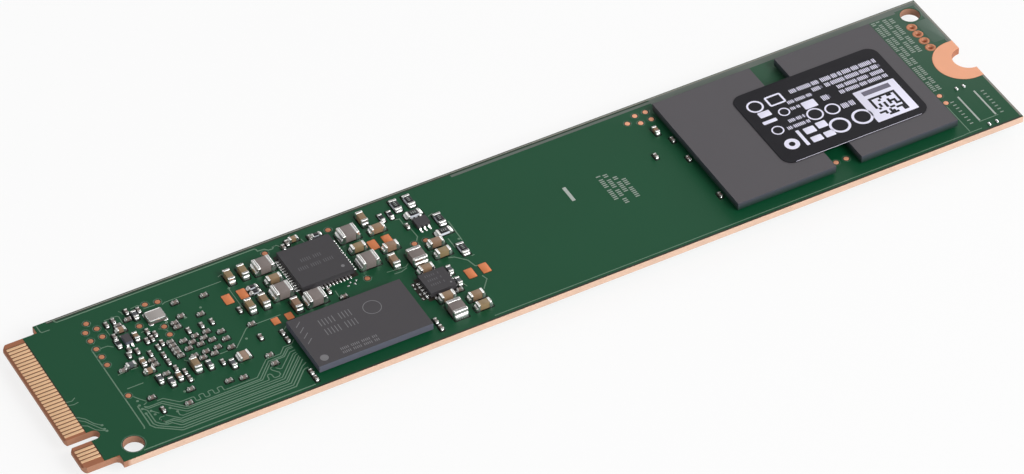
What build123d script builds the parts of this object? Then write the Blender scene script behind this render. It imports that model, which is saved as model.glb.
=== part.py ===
from build123d import *
import os

os.makedirs("parts", exist_ok=True)

# A solid state drive on a bare M.2 card, 110 mm long, with parts on both sides.
# X runs along the card from the contact edge to the mounting notch, Y across it,
# and Z up out of the side that carries the label. The card lies on its lower packages.
# All sizes are in millimetres.

# Card
card_length = 110.0
shoulder_width = 1.075
board_thickness = 0.8
mask_thickness = 0.03
mask_edge_gap = 0.03
copper_thickness = 0.04
copper_gap = 0.05
edge_bevel = 0.2

# Contact tongue: numbered places in a zigzag, odd below and even above
contact_places = 75
contact_pitch = 0.5
contact_width = 0.35
contact_length = 2.13
contact_setback = 0.2
tongue_margin = 0.675
tongue_length = 3.95
tongue_fillet = 0.6
tongue_corner_cut = 0.4
key_first_place = 59
key_last_place = 66
key_width = 1.2
key_depth = 3.5
key_mouth_cut = 0.25

# Mounting end
notch_radius = 1.75
notch_pad_radius = 3.2
notch_pad_setback = 0.75
tooling_hole_radius = 1.1
tip_hole_inset_x = 1.9
tip_hole_inset_y = 1.8
end_hole_inset_x = 1.73
end_hole_inset_y = 2.0
ring_pad_radius = 0.6
ring_hole_radius = 0.25
ring_pad_pitch = 1.27
ring_pad_count = 4
ring_pad_end_inset = 2.65

# Bare copper pads: the small round ones have flats, because they are many
pad_flat_count = 8
test_point_radius = 0.3
spare_pad_length = 0.95
spare_pad_width = 1.45
small_pad_length = 0.8
small_pad_width = 1.0

# Flash packages on their solder balls
flash_length = 12.0
flash_width = 18.0
flash_height = 0.9
flash_end_inset = 7.15
flash_gap = 3.15
flash_offset = -0.1
ball_height = 0.2
ball_size = 0.42
flash_ball_pitch = 1.0
flash_ball_rows = 9
flash_ball_span = 10.0

# Memory package
memory_length = 13.0
memory_width = 7.5
memory_height = 0.82
memory_tip_distance = 26.5
memory_edge_inset = 1.6
memory_ball_pitch = 1.0
memory_ball_rows = 11
memory_ball_span = 6.4

# Controller, under the small capacitors
controller_size = 14.0
controller_height = 0.9
controller_tip_distance = 17.5
controller_offset = 0.5
controller_ball_pitch = 1.2
controller_ball_rows = 10

# Power chip and switch chip: moulded bodies on flat leads with solder toes
power_chip_size = 6.0
power_chip_memory_inset = 6.22
power_chip_offset = 4.93
power_chip_height = 0.7
power_chip_pitch = 0.4
power_chip_leads_per_side = 13
power_chip_lead_width = 0.2
switch_chip_size = 3.0
switch_chip_memory_distance = 3.47
switch_chip_offset = -3.65
switch_chip_height = 0.6
switch_chip_pitch = 0.5
switch_chip_leads_per_side = 5
switch_chip_lead_width = 0.24
lead_height = 0.15
lead_inside = 0.3
power_chip_toe = 0.35
switch_chip_toe = 0.25
pad_clearance = 0.45

# Regulator and logic chips: small bodies on bent legs
regulator_length = 1.5
regulator_width = 1.2
regulator_memory_distance = 6.35
regulator_offset = 5.3
logic_length = 0.8
logic_width = 1.2
logic_tip_distance = 11.5
logic_offset = 4.3
small_chip_height = 0.5
small_chip_standoff = 0.06
leg_thickness = 0.12
leg_width = 0.22
regulator_leg_reach = 0.5
regulator_leg_foot = 0.28
regulator_leg_pitch = 0.5
logic_leg_reach = 0.3
logic_leg_foot = 0.16
logic_leg_pitch = 0.5

# Crystal can
crystal_length = 2.0
crystal_width = 1.6
crystal_base_height = 0.28
crystal_lid_height = 0.22
crystal_lid_inset = 0.1
crystal_corner = 0.2
crystal_tip_distance = 15.5
crystal_offset = 6.1

# Chip parts: length, width, height and end cap of each size
inductor_length = 2.0
inductor_width = 1.65
inductor_height = 1.0
inductor_cap = 0.45
large_length = 1.6
large_width = 0.8
large_height = 0.8
large_cap = 0.3
medium_length = 1.0
medium_width = 0.55
medium_height = 0.5
medium_cap = 0.25
small_length = 0.6
small_width = 0.3
small_height = 0.3
resistor_length = 1.6
resistor_width = 0.85
resistor_height = 0.4
resistor_cap = 0.3
small_resistor_length = 1.0
small_resistor_width = 0.5
small_resistor_height = 0.3
small_resistor_cap = 0.22
resistor_coat_height = 0.05
filter_length = 1.2
filter_width = 1.05
filter_height = 0.5
filter_cap = 0.25
cap_step = 0.02

# Hold-up capacitors on the lower side
holdup_length = 7.3
holdup_width = 4.3
holdup_height = 0.95
holdup_pitch = 4.9
holdup_row_gap = 1.1
holdup_columns = 4
holdup_flash_gap = 7.7
holdup_foot_thickness = 0.1
holdup_foot_length = 1.3
holdup_foot_width = 2.4

# Label across the two upper flash packages
label_length = 18.0
label_width = 12.0
label_corner = 1.3
label_thickness = 0.08
label_shift_x = 2.9
label_shift_y = -0.4

# Levels, from the lower packages up
lower_seat = ball_height + max(flash_height, controller_height)
board_bottom = lower_seat + mask_thickness
board_top = board_bottom + board_thickness
upper_seat = board_top + mask_thickness

# Places along the card and across it
tip_x = -card_length / 2
end_x = card_length / 2
contact_span = (contact_places - 1) / 2 * contact_pitch
tongue_width = contact_span + 2 * tongue_margin
board_width = tongue_width + 2 * shoulder_width
shoulder_x = tip_x + tongue_length
contact_x = tip_x + contact_setback + contact_length / 2
mask_start = contact_x + contact_length / 2 + copper_gap / 2
memory_left = tip_x + memory_tip_distance
memory_right = memory_left + memory_length
memory_x = (memory_left + memory_right) / 2
memory_y = -board_width / 2 + memory_edge_inset + memory_width / 2
memory_far = memory_y + memory_width / 2
power_x = memory_right - power_chip_memory_inset
power_y = power_chip_offset
power_reach = power_chip_size / 2 + power_chip_toe
power_near = power_y - power_reach
power_far = power_y + power_reach
switch_x = memory_right + switch_chip_memory_distance
switch_y = switch_chip_offset
switch_reach = switch_chip_size / 2 + switch_chip_toe
regulator_x = memory_right + regulator_memory_distance
regulator_y = regulator_offset
logic_x = tip_x + logic_tip_distance
logic_y = logic_offset
flash_outer_x = end_x - flash_end_inset - flash_length / 2
flash_inner_x = flash_outer_x - flash_length - flash_gap
flash_middle_x = (flash_outer_x + flash_inner_x) / 2
flash_left = flash_inner_x - flash_length / 2
flash_right = flash_outer_x + flash_length / 2
flash_y = flash_offset
controller_x = tip_x + controller_tip_distance
controller_y = controller_offset
holdup_bank_length = (holdup_columns - 1) * holdup_pitch + holdup_width
holdup_x = flash_left - holdup_flash_gap - holdup_bank_length / 2


def contact_y(place):
    """The distance of a numbered contact from the card's centre line."""
    return contact_pitch / 2 * ((contact_places + 1) / 2 - place)


key_y = contact_y((key_first_place + key_last_place) / 2)
tooling_holes = [
    (shoulder_x + tip_hole_inset_x, -board_width / 2 + tip_hole_inset_y),
    (end_x - end_hole_inset_x, board_width / 2 - end_hole_inset_y),
]
# The first ring pad stands beside the notch land, a copper gap away from its arc
ring_pad_distance = notch_pad_radius + copper_gap + ring_pad_radius
first_ring_y = (ring_pad_distance**2 - (ring_pad_end_inset - notch_pad_setback) ** 2) ** 0.5
ring_pad_spots = [
    (end_x - ring_pad_end_inset, first_ring_y + step * ring_pad_pitch) for step in range(ring_pad_count)
]


def beside(line, *spots):
    """Places measured along the card from a line, and across it from its centre."""
    return [(line + x, y) for x, y in spots]


# Where the chip parts stand: those near the contact edge are placed from the tip,
# those round the power chip from the right edge of the memory package,
# and those by the flash packages from the edges of these.
large_across = beside(
    memory_right, (-14.9, 7.55), (-13.3, 7.55), (-14.9, 2.6), (-13.3, 2.6), (-10.65, 0.5),
    (1.1, 8.7), (1.1, 1.42),
) + beside(tip_x, (16.0, -2.4))
large_along = beside(
    memory_right, (-11.0, 5.0), (-1.25, 5.0), (1.8, 6.6), (1.8, 3.5), (6.15, 1.75), (6.15, 0.1),
    (6.1, -7.26), (6.1, -8.83),
) + [
    (switch_x - 0.05, switch_y + switch_reach + 0.2 + large_width / 2),
    (switch_x - 0.05, switch_y - switch_reach - 0.15 - large_width / 2),
]
inductors_along = beside(
    memory_right, (-11.12, 7.25), (-11.12, 2.92), (-1.25, 7.3), (-1.25, 2.7),
    (-8.55, power_near - 0.38 - inductor_width / 2),
)
inductors_across = beside(memory_right, (3.43, 0.76), (3.4, -8.1))
resistors_across = beside(memory_right, (5.2, 9.0), (6.77, 9.0), (8.28, 4.95), (8.3, -0.2))
resistors_along = beside(memory_right, (6.25, 6.95), (7.77, 3.0))
small_resistors_across = beside(memory_right, (3.05, 8.05), (4.1, 8.05)) + beside(tip_x, (10.5, 4.35))
small_resistors_along = beside(
    memory_right, (-13.4, 5.2), (-13.4, 4.4), (-4.1, power_far + 0.75),
)
medium_across = beside(
    tip_x, (12.5, 4.35), (12.0, -2.4), (12.9, -3.3), (13.9, -2.95), (17.3, -2.95), (19.45, -3.95),
    (13.75, 7.25), (11.55, 0.65),
) + beside(memory_right, (5.55, -2.45), (5.55, -4.4)) + beside(flash_left, (-1.3, 5.9))
medium_along = beside(
    tip_x, (11.55, 6.0), (11.6, -0.8), (10.3, 0.85),
) + beside(memory_right, (-6.5, power_far + 1.27))
small_across = beside(
    tip_x, (17.6, 2.6), (19.1, 2.65), (20.25, 2.65), (13.85, 4.5), (13.85, 3.35), (13.85, 1.9),
    (13.85, 0.6), (13.85, -0.55), (14.4, 3.8), (14.45, 2.3), (13.25, 3.3), (12.75, 1.45),
    (14.1, -1.7), (14.7, -2.6), (14.7, -3.7), (18.65, -3.2), (10.45, -6.4), (23.6, -1.8),
    (10.6, 7.4), (11.45, 7.55), (14.4, 7.8), (13.2, 8.15), (10.75, 2.3), (11.1, 2.95),
    (11.75, 2.4), (10.6, 5.4),
) + beside(
    memory_left, (-0.65, -2.3), (-0.65, -3.5), (-0.65, -8.8), (-0.65, -9.85),
) + beside(
    memory_right, (0.8, -8.4), (0.8, -9.5), (-16.0, 2.8), (4.85, 5.6), (-6.75, power_near - 0.73),
    (-7.9, power_far + 0.69), (-7.3, power_far + 1.12), (-4.85, power_far + 0.69),
) + beside(flash_left, (-3.3, 2.45), (-0.42, 3.85), (-0.42, 0.45), (-0.42, -6.1))
small_along = beside(
    tip_x, (16.85, 4.3), (16.85, 3.65), (17.85, 4.9), (19.75, 4.2), (18.15, 7.0), (21.25, 6.55),
    (16.5, 1.5), (17.85, 1.6), (19.15, 1.6), (17.2, 0.9), (18.5, 0.9), (20.45, 0.9),
    (16.5, 0.25), (17.85, 0.25), (19.15, 0.25), (20.45, -0.3), (16.55, -1.0), (17.85, -1.0),
    (19.15, -1.0), (17.2, -1.65), (18.5, -1.65), (20.4, -1.65), (15.25, 2.0), (15.25, 1.4),
    (15.25, 0.8), (15.25, 0.25), (15.35, -0.3), (12.5, 0.5), (12.5, -0.2), (12.95, -1.95),
    (10.2, -4.3), (14.15, -5.1), (13.15, -6.8), (18.05, -5.9), (19.55, -6.2), (23.25, -4.6),
    (23.2, -5.9), (9.3, 0.6), (12.9, 7.1), (11.6, 6.75),
) + beside(
    memory_right, (-15.85, 0.35), (-5.75, memory_far + 1.25), (5.1, -5.5),
)
filters_along = beside(tip_x, (20.9, -3.45))
test_point_spots = beside(
    tip_x, (8.92, 8.67), (8.28, 7.5), (9.57, 7.5), (8.25, 6.17), (9.58, 6.17), (8.27, 4.83),
    (8.27, 3.53), (8.27, 2.22), (8.27, -2.8), (15.38, 8.33), (16.7, 8.08), (13.53, 5.73),
    (15.73, 4.45), (15.73, 3.13),
) + beside(
    memory_right, (-9.96, 9.2), (-2.6, 9.2), (-2.36, 0.71), (4.3, 2.97), (5.6, 2.86),
) + beside(
    flash_left, (-3.3, 8.5), (-2.0, 9.2), (-0.7, 9.2), (-2.0, 7.9), (-0.7, 7.9),
) + beside(
    flash_middle_x, (-0.63, -7.58), (0.63, -7.58),
) + beside(flash_right, (1.05, -3.9), (1.05, -5.2))
spare_pad_spots = beside(
    memory_right, (-16.33, 4.9), (-14.63, 4.9), (0.5, 4.9), (2.15, 4.9), (7.28, -3.77), (8.96, -3.77),
)
small_pad_spots = beside(memory_right, (-13.45, -0.36), (-11.9, -0.36))
lower_capacitors = beside(
    controller_x + controller_size / 2, (1.6, -5.0), (1.6, -3.0), (1.6, -1.0), (1.6, 1.0), (1.6, 3.0),
    (1.6, 5.0),
) + beside(flash_left, (-1.6, -6.0), (-1.6, -3.0), (-1.6, 3.0), (-1.6, 6.0))


# Shapes that several pieces share: each is drawn in the sketch that is open
def draw_card(inset):
    """The card's outline from the shoulders to the mounting end."""
    body_length = card_length - tongue_length - 2 * inset
    with Locations((shoulder_x + inset + body_length / 2, 0)):
        Rectangle(body_length, board_width - 2 * inset)


def cut_key():
    """The key slot, open at the contact edge and round at its inner end."""
    slot_radius = key_width / 2
    with Locations((tip_x + (key_depth - slot_radius) / 2, key_y)):
        Rectangle(key_depth - slot_radius, key_width, mode=Mode.SUBTRACT)
    with Locations((tip_x + key_depth - slot_radius, key_y)):
        Circle(slot_radius, mode=Mode.SUBTRACT)


def draw_notch_pad(margin, mode=Mode.ADD):
    """The copper land round the mounting notch, open at the card's end."""
    with Locations((end_x - notch_pad_setback, 0)):
        Circle(notch_pad_radius + margin, mode=mode)
    with Locations((end_x - notch_pad_setback / 2, 0)):
        Rectangle(notch_pad_setback, 2 * (notch_pad_radius + margin), mode=mode)


def cut_past_end():
    """What a round shape would leave beyond the card's end."""
    with Locations((end_x + notch_pad_radius, 0)):
        Rectangle(2 * notch_pad_radius, 4 * notch_pad_radius, mode=Mode.SUBTRACT)


def draw_bodies(along, across, length, width, cap):
    """The parts of chips between their end caps, a plating's thickness slimmer."""
    if along:
        with Locations(*along):
            Rectangle(length - 2 * cap, width - 2 * cap_step)
    if across:
        with Locations(*across):
            Rectangle(width - 2 * cap_step, length - 2 * cap)


def draw_ends(along, across, length, width, cap):
    """The two end caps of each chip."""
    reach = (length - cap) / 2
    if along:
        with Locations(*[(x + side * reach, y) for x, y in along for side in (-1, 1)]):
            Rectangle(cap, width)
    if across:
        with Locations(*[(x, y + side * reach) for x, y in across for side in (-1, 1)]):
            Rectangle(width, cap)


def draw_ball_columns(centres, rows, pitch, span):
    """The two outer columns of a package's solder balls, as squat posts."""
    for x, y in centres:
        for side in (-1, 1):
            with Locations((x, y + side * span / 2)):
                with GridLocations(pitch, pitch, rows, 1):
                    Rectangle(ball_size, ball_size)


def draw_ball_rows(centres, rows, pitch, span):
    """The same for a package whose outer balls run across the card."""
    for x, y in centres:
        for side in (-1, 1):
            with Locations((x + side * span / 2, y)):
                with GridLocations(pitch, pitch, 1, rows):
                    Rectangle(ball_size, ball_size)


def draw_leads(x, y, size, toe, lead_width, pitch, count):
    """The flat leads on all four sides of a chip, from under its body out to their toes."""
    lead_length = lead_inside + toe
    centre = size / 2 + toe - lead_length / 2
    for side in (-1, 1):
        with Locations((x + side * centre, y)):
            with GridLocations(pitch, pitch, 1, count):
                Rectangle(lead_length, lead_width)
        with Locations((x, y + side * centre)):
            with GridLocations(pitch, pitch, count, 1):
                Rectangle(lead_width, lead_length)


def draw_leg(side, chip_y, width, reach, foot):
    """One bent leg in section: out of the body, down, and flat on the board."""
    face = chip_y + side * width / 2
    top = upper_seat + small_chip_standoff + small_chip_height / 2
    knee = face + side * (reach - foot)
    toe = face + side * reach
    inner_knee = knee - side * leg_thickness
    Polygon(
        (face, top), (knee, top), (knee, upper_seat + leg_thickness), (toe, upper_seat + leg_thickness),
        (toe, upper_seat), (inner_knee, upper_seat), (inner_knee, top - leg_thickness),
        (face, top - leg_thickness), align=None,
    )


# Board: glass laminate with its contact tongue, key slot, notch and holes
with BuildPart() as board:
    with BuildSketch(Plane.XY.offset(board_bottom)) as card_outline:
        draw_card(0)
        with Locations((tip_x + tongue_length / 2, 0)):
            Rectangle(tongue_length, tongue_width)
        inner_corners = [
            corner
            for corner in card_outline.vertices()
            if abs(corner.X - shoulder_x) < edge_bevel and abs(corner.Y) < board_width / 2 - shoulder_width / 2
        ]
        fillet(inner_corners, tongue_fillet)
        tip_corners = [corner for corner in card_outline.vertices() if abs(corner.X - tip_x) < edge_bevel]
        chamfer(tip_corners, tongue_corner_cut)
        cut_key()
        key_corners = [
            corner
            for corner in card_outline.vertices()
            if abs(corner.X - tip_x) < edge_bevel and abs(corner.Y - key_y) < key_width
        ]
        chamfer(key_corners, key_mouth_cut)
        with Locations((end_x, 0)):
            Circle(notch_radius, mode=Mode.SUBTRACT)
        with Locations(*tooling_holes):
            Circle(tooling_hole_radius, mode=Mode.SUBTRACT)
        with Locations(*ring_pad_spots):
            RegularPolygon(ring_hole_radius + copper_thickness, pad_flat_count, mode=Mode.SUBTRACT)
    extrude(amount=board_thickness)
    tip_edges = board.edges().filter_by(Axis.Y).group_by(Axis.X)[0]
    chamfer(tip_edges, edge_bevel)
board.part.label = "board"
export_step(board.part, "parts/board.step")


def draw_mask():
    """The green coating's outline, with its openings round bare copper and holes."""
    draw_card(mask_edge_gap)
    coated_tongue = shoulder_x + mask_edge_gap - mask_start
    with Locations((mask_start + coated_tongue / 2, 0)):
        Rectangle(coated_tongue, tongue_width - 2 * mask_edge_gap)
    with Locations((tip_x + key_depth - key_width / 2, key_y)):
        Circle(key_width / 2 + mask_edge_gap, mode=Mode.SUBTRACT)
        with Locations((-key_width, 0)):
            Rectangle(2 * key_width, key_width + 2 * mask_edge_gap, mode=Mode.SUBTRACT)
    draw_notch_pad(copper_gap, Mode.SUBTRACT)
    with Locations(*tooling_holes):
        Circle(tooling_hole_radius, mode=Mode.SUBTRACT)
    with Locations(*ring_pad_spots):
        RegularPolygon(ring_pad_radius + copper_gap, pad_flat_count, mode=Mode.SUBTRACT)


with BuildPart() as solder_mask_upper:
    with BuildSketch(Plane.XY.offset(board_top)):
        draw_mask()
    extrude(amount=mask_thickness)
solder_mask_upper.part.label = "solder_mask_upper"
export_step(solder_mask_upper.part, "parts/solder_mask_upper.step")

with BuildPart() as solder_mask_lower:
    with BuildSketch(Plane.XY.offset(lower_seat)):
        draw_mask()
    extrude(amount=mask_thickness)
solder_mask_lower.part.label = "solder_mask_lower"
export_step(solder_mask_lower.part, "parts/solder_mask_lower.step")

# Contacts: plated fingers on both faces of the tongue, none across the key
contact_numbers = [
    place
    for place in range(1, contact_places + 1)
    if not key_first_place <= place <= key_last_place
]

with BuildPart() as contacts_upper:
    with BuildSketch(Plane.XY.offset(board_top)):
        with Locations(*[(contact_x, contact_y(place)) for place in contact_numbers if place % 2 == 0]):
            Rectangle(contact_length, contact_width)
    extrude(amount=copper_thickness)
contacts_upper.part.label = "contacts_upper"
export_step(contacts_upper.part, "parts/contacts_upper.step")

with BuildPart() as contacts_lower:
    with BuildSketch(Plane.XY.offset(board_bottom)):
        with Locations(*[(contact_x, contact_y(place)) for place in contact_numbers if place % 2 == 1]):
            Rectangle(contact_length, contact_width)
    extrude(amount=-copper_thickness)
contacts_lower.part.label = "contacts_lower"
export_step(contacts_lower.part, "parts/contacts_lower.step")

# Mounting notch: a copper land on each face, where the screw and the stand-off bear
with BuildPart() as notch_lands:
    for level, rise in ((board_top, copper_thickness), (board_bottom, -copper_thickness)):
        with BuildSketch(Plane.XY.offset(level)):
            draw_notch_pad(0)
            with Locations((end_x, 0)):
                Circle(notch_radius, mode=Mode.SUBTRACT)
            cut_past_end()
        extrude(amount=rise)
notch_lands.part.label = "notch_lands"
export_step(notch_lands.part, "parts/notch_lands.step")

# Ring pads: four plated holes in a row beside the notch
with BuildPart() as ring_pads:
    for level, rise in ((board_top, copper_thickness), (board_bottom, -copper_thickness)):
        with BuildSketch(Plane.XY.offset(level)):
            with Locations(*ring_pad_spots):
                RegularPolygon(ring_pad_radius, pad_flat_count)
                RegularPolygon(ring_hole_radius, pad_flat_count, mode=Mode.SUBTRACT)
        extrude(amount=rise)
    with BuildSketch(Plane.XY.offset(board_bottom)):
        with Locations(*ring_pad_spots):
            RegularPolygon(ring_hole_radius + copper_thickness, pad_flat_count)
            RegularPolygon(ring_hole_radius, pad_flat_count, mode=Mode.SUBTRACT)
    extrude(amount=board_thickness)
ring_pads.part.label = "ring_pads"
export_step(ring_pads.part, "parts/ring_pads.step")

with BuildPart() as test_points:
    with BuildSketch(Plane.XY.offset(upper_seat)):
        with Locations(*test_point_spots):
            RegularPolygon(test_point_radius, pad_flat_count)
    extrude(amount=copper_thickness)
test_points.part.label = "test_points"
export_step(test_points.part, "parts/test_points.step")

with BuildPart() as spare_pads:
    with BuildSketch(Plane.XY.offset(upper_seat)):
        with Locations(*spare_pad_spots):
            Rectangle(spare_pad_length, spare_pad_width)
        with Locations(*small_pad_spots):
            Rectangle(small_pad_length, small_pad_width)
    extrude(amount=copper_thickness)
spare_pads.part.label = "spare_pads"
export_step(spare_pads.part, "parts/spare_pads.step")

# Flash packages: two above and two below, back to back
upper_body = upper_seat + ball_height
lower_body = lower_seat - ball_height - flash_height

with BuildPart() as flash_upper_inner:
    with BuildSketch(Plane.XY.offset(upper_body)):
        with Locations((flash_inner_x, flash_y)):
            Rectangle(flash_length, flash_width)
    extrude(amount=flash_height)
flash_upper_inner.part.label = "flash_upper_inner"
export_step(flash_upper_inner.part, "parts/flash_upper_inner.step")

with BuildPart() as flash_upper_outer:
    with BuildSketch(Plane.XY.offset(upper_body)):
        with Locations((flash_outer_x, flash_y)):
            Rectangle(flash_length, flash_width)
    extrude(amount=flash_height)
flash_upper_outer.part.label = "flash_upper_outer"
export_step(flash_upper_outer.part, "parts/flash_upper_outer.step")

with BuildPart() as flash_lower_inner:
    with BuildSketch(Plane.XY.offset(lower_body)):
        with Locations((flash_inner_x, flash_y)):
            Rectangle(flash_length, flash_width)
    extrude(amount=flash_height)
flash_lower_inner.part.label = "flash_lower_inner"
export_step(flash_lower_inner.part, "parts/flash_lower_inner.step")

with BuildPart() as flash_lower_outer:
    with BuildSketch(Plane.XY.offset(lower_body)):
        with Locations((flash_outer_x, flash_y)):
            Rectangle(flash_length, flash_width)
    extrude(amount=flash_height)
flash_lower_outer.part.label = "flash_lower_outer"
export_step(flash_lower_outer.part, "parts/flash_lower_outer.step")

flash_centres = [(flash_inner_x, flash_y), (flash_outer_x, flash_y)]

with BuildPart() as flash_balls_upper:
    with BuildSketch(Plane.XY.offset(upper_seat)):
        draw_ball_rows(flash_centres, flash_ball_rows, flash_ball_pitch, flash_ball_span)
    extrude(amount=ball_height)
flash_balls_upper.part.label = "flash_balls_upper"
export_step(flash_balls_upper.part, "parts/flash_balls_upper.step")

with BuildPart() as flash_balls_lower:
    with BuildSketch(Plane.XY.offset(lower_seat)):
        draw_ball_rows(flash_centres, flash_ball_rows, flash_ball_pitch, flash_ball_span)
    extrude(amount=-ball_height)
flash_balls_lower.part.label = "flash_balls_lower"
export_step(flash_balls_lower.part, "parts/flash_balls_lower.step")

# Memory package beside the power chip
with BuildPart() as memory_package:
    with BuildSketch(Plane.XY.offset(upper_body)):
        with Locations((memory_x, memory_y)):
            Rectangle(memory_length, memory_width)
    extrude(amount=memory_height)
memory_package.part.label = "memory_package"
export_step(memory_package.part, "parts/memory_package.step")

with BuildPart() as memory_balls:
    with BuildSketch(Plane.XY.offset(upper_seat)):
        draw_ball_columns([(memory_x, memory_y)], memory_ball_rows, memory_ball_pitch, memory_ball_span)
    extrude(amount=ball_height)
memory_balls.part.label = "memory_balls"
export_step(memory_balls.part, "parts/memory_balls.step")

# Controller on the lower side, under the small capacitors that serve it
with BuildPart() as controller_package:
    with BuildSketch(Plane.XY.offset(lower_seat - ball_height)):
        with Locations((controller_x, controller_y)):
            Rectangle(controller_size, controller_size)
    extrude(amount=-controller_height)
controller_package.part.label = "controller_package"
export_step(controller_package.part, "parts/controller_package.step")

controller_ball_span = (controller_ball_rows - 1) * controller_ball_pitch
controller_centre = [(controller_x, controller_y)]

with BuildPart() as controller_balls:
    with BuildSketch(Plane.XY.offset(lower_seat)):
        draw_ball_rows(controller_centre, controller_ball_rows, controller_ball_pitch, controller_ball_span)
        draw_ball_columns(
            controller_centre, controller_ball_rows - 2, controller_ball_pitch, controller_ball_span
        )
    extrude(amount=-ball_height)
controller_balls.part.label = "controller_balls"
export_step(controller_balls.part, "parts/controller_balls.step")

# Power chip: a square moulded body over flat leads and a heat pad
with BuildPart() as power_chip_leads:
    with BuildSketch(Plane.XY.offset(upper_seat)):
        draw_leads(
            power_x, power_y, power_chip_size, power_chip_toe, power_chip_lead_width,
            power_chip_pitch, power_chip_leads_per_side,
        )
    extrude(amount=lead_height)
power_chip_leads.part.label = "power_chip_leads"
export_step(power_chip_leads.part, "parts/power_chip_leads.step")

with BuildPart() as power_chip_pad:
    heat_pad = power_chip_size - 2 * (lead_inside + pad_clearance)
    with BuildSketch(Plane.XY.offset(upper_seat)):
        with Locations((power_x, power_y)):
            Rectangle(heat_pad, heat_pad)
    extrude(amount=lead_height)
power_chip_pad.part.label = "power_chip_pad"
export_step(power_chip_pad.part, "parts/power_chip_pad.step")

with BuildPart() as power_chip:
    with BuildSketch(Plane.XY.offset(upper_seat + lead_height)):
        with Locations((power_x, power_y)):
            Rectangle(power_chip_size, power_chip_size)
    extrude(amount=power_chip_height)
power_chip.part.label = "power_chip"
export_step(power_chip.part, "parts/power_chip.step")

# Switch chip: the same build at half the size
with BuildPart() as switch_chip_leads:
    with BuildSketch(Plane.XY.offset(upper_seat)):
        draw_leads(
            switch_x, switch_y, switch_chip_size, switch_chip_toe, switch_chip_lead_width,
            switch_chip_pitch, switch_chip_leads_per_side,
        )
    extrude(amount=lead_height)
switch_chip_leads.part.label = "switch_chip_leads"
export_step(switch_chip_leads.part, "parts/switch_chip_leads.step")

with BuildPart() as switch_chip:
    with BuildSketch(Plane.XY.offset(upper_seat + lead_height)):
        with Locations((switch_x, switch_y)):
            Rectangle(switch_chip_size, switch_chip_size)
    extrude(amount=switch_chip_height)
switch_chip.part.label = "switch_chip"
export_step(switch_chip.part, "parts/switch_chip.step")

# Regulator: a small moulded body on three legs a side
with BuildPart() as regulator_chip:
    with BuildSketch(Plane.XY.offset(upper_seat + small_chip_standoff)):
        with Locations((regulator_x, regulator_y)):
            Rectangle(regulator_length, regulator_width)
    extrude(amount=small_chip_height)
regulator_chip.part.label = "regulator_chip"
export_step(regulator_chip.part, "parts/regulator_chip.step")

with BuildPart() as regulator_legs:
    for side in (-1, 1):
        for place in (-1, 0, 1):
            with BuildSketch(Plane.YZ.offset(regulator_x + place * regulator_leg_pitch)):
                draw_leg(side, regulator_y, regulator_width, regulator_leg_reach, regulator_leg_foot)
            extrude(amount=leg_width / 2, both=True)
regulator_legs.part.label = "regulator_legs"
export_step(regulator_legs.part, "parts/regulator_legs.step")

# Logic chip: the smallest one, on two legs a side
with BuildPart() as logic_chip:
    with BuildSketch(Plane.XY.offset(upper_seat + small_chip_standoff)):
        with Locations((logic_x, logic_y)):
            Rectangle(logic_length, logic_width)
    extrude(amount=small_chip_height)
logic_chip.part.label = "logic_chip"
export_step(logic_chip.part, "parts/logic_chip.step")

with BuildPart() as logic_legs:
    for side in (-1, 1):
        for place in (-0.5, 0.5):
            with BuildSketch(Plane.YZ.offset(logic_x + place * logic_leg_pitch)):
                draw_leg(side, logic_y, logic_width, logic_leg_reach, logic_leg_foot)
            extrude(amount=leg_width / 2, both=True)
logic_legs.part.label = "logic_legs"
export_step(logic_legs.part, "parts/logic_legs.step")

# Crystal: a ceramic base with a welded metal lid
crystal_spot = beside(tip_x, (crystal_tip_distance, crystal_offset))

with BuildPart() as crystal_base:
    with BuildSketch(Plane.XY.offset(upper_seat)):
        with Locations(*crystal_spot):
            Rectangle(crystal_length, crystal_width)
    extrude(amount=crystal_base_height)
crystal_base.part.label = "crystal_base"
export_step(crystal_base.part, "parts/crystal_base.step")

with BuildPart() as crystal_lid:
    with BuildSketch(Plane.XY.offset(upper_seat + crystal_base_height)):
        with Locations(*crystal_spot):
            RectangleRounded(
                crystal_length - 2 * crystal_lid_inset, crystal_width - 2 * crystal_lid_inset, crystal_corner
            )
    extrude(amount=crystal_lid_height)
crystal_lid.part.label = "crystal_lid"
export_step(crystal_lid.part, "parts/crystal_lid.step")

# Inductors
with BuildPart() as inductor_cores:
    with BuildSketch(Plane.XY.offset(upper_seat)):
        draw_bodies(inductors_along, inductors_across, inductor_length, inductor_width, inductor_cap)
    extrude(amount=inductor_height - cap_step)
inductor_cores.part.label = "inductor_cores"
export_step(inductor_cores.part, "parts/inductor_cores.step")

with BuildPart() as inductor_ends:
    with BuildSketch(Plane.XY.offset(upper_seat)):
        draw_ends(inductors_along, inductors_across, inductor_length, inductor_width, inductor_cap)
    extrude(amount=inductor_height)
inductor_ends.part.label = "inductor_ends"
export_step(inductor_ends.part, "parts/inductor_ends.step")

# Ceramic capacitors in three sizes, the smallest ones as whole chips
with BuildPart() as capacitor_bodies_large:
    with BuildSketch(Plane.XY.offset(upper_seat)):
        draw_bodies(large_along, large_across, large_length, large_width, large_cap)
    extrude(amount=large_height - cap_step)
capacitor_bodies_large.part.label = "capacitor_bodies_large"
export_step(capacitor_bodies_large.part, "parts/capacitor_bodies_large.step")

with BuildPart() as capacitor_ends_large:
    with BuildSketch(Plane.XY.offset(upper_seat)):
        draw_ends(large_along, large_across, large_length, large_width, large_cap)
    extrude(amount=large_height)
capacitor_ends_large.part.label = "capacitor_ends_large"
export_step(capacitor_ends_large.part, "parts/capacitor_ends_large.step")

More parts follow.
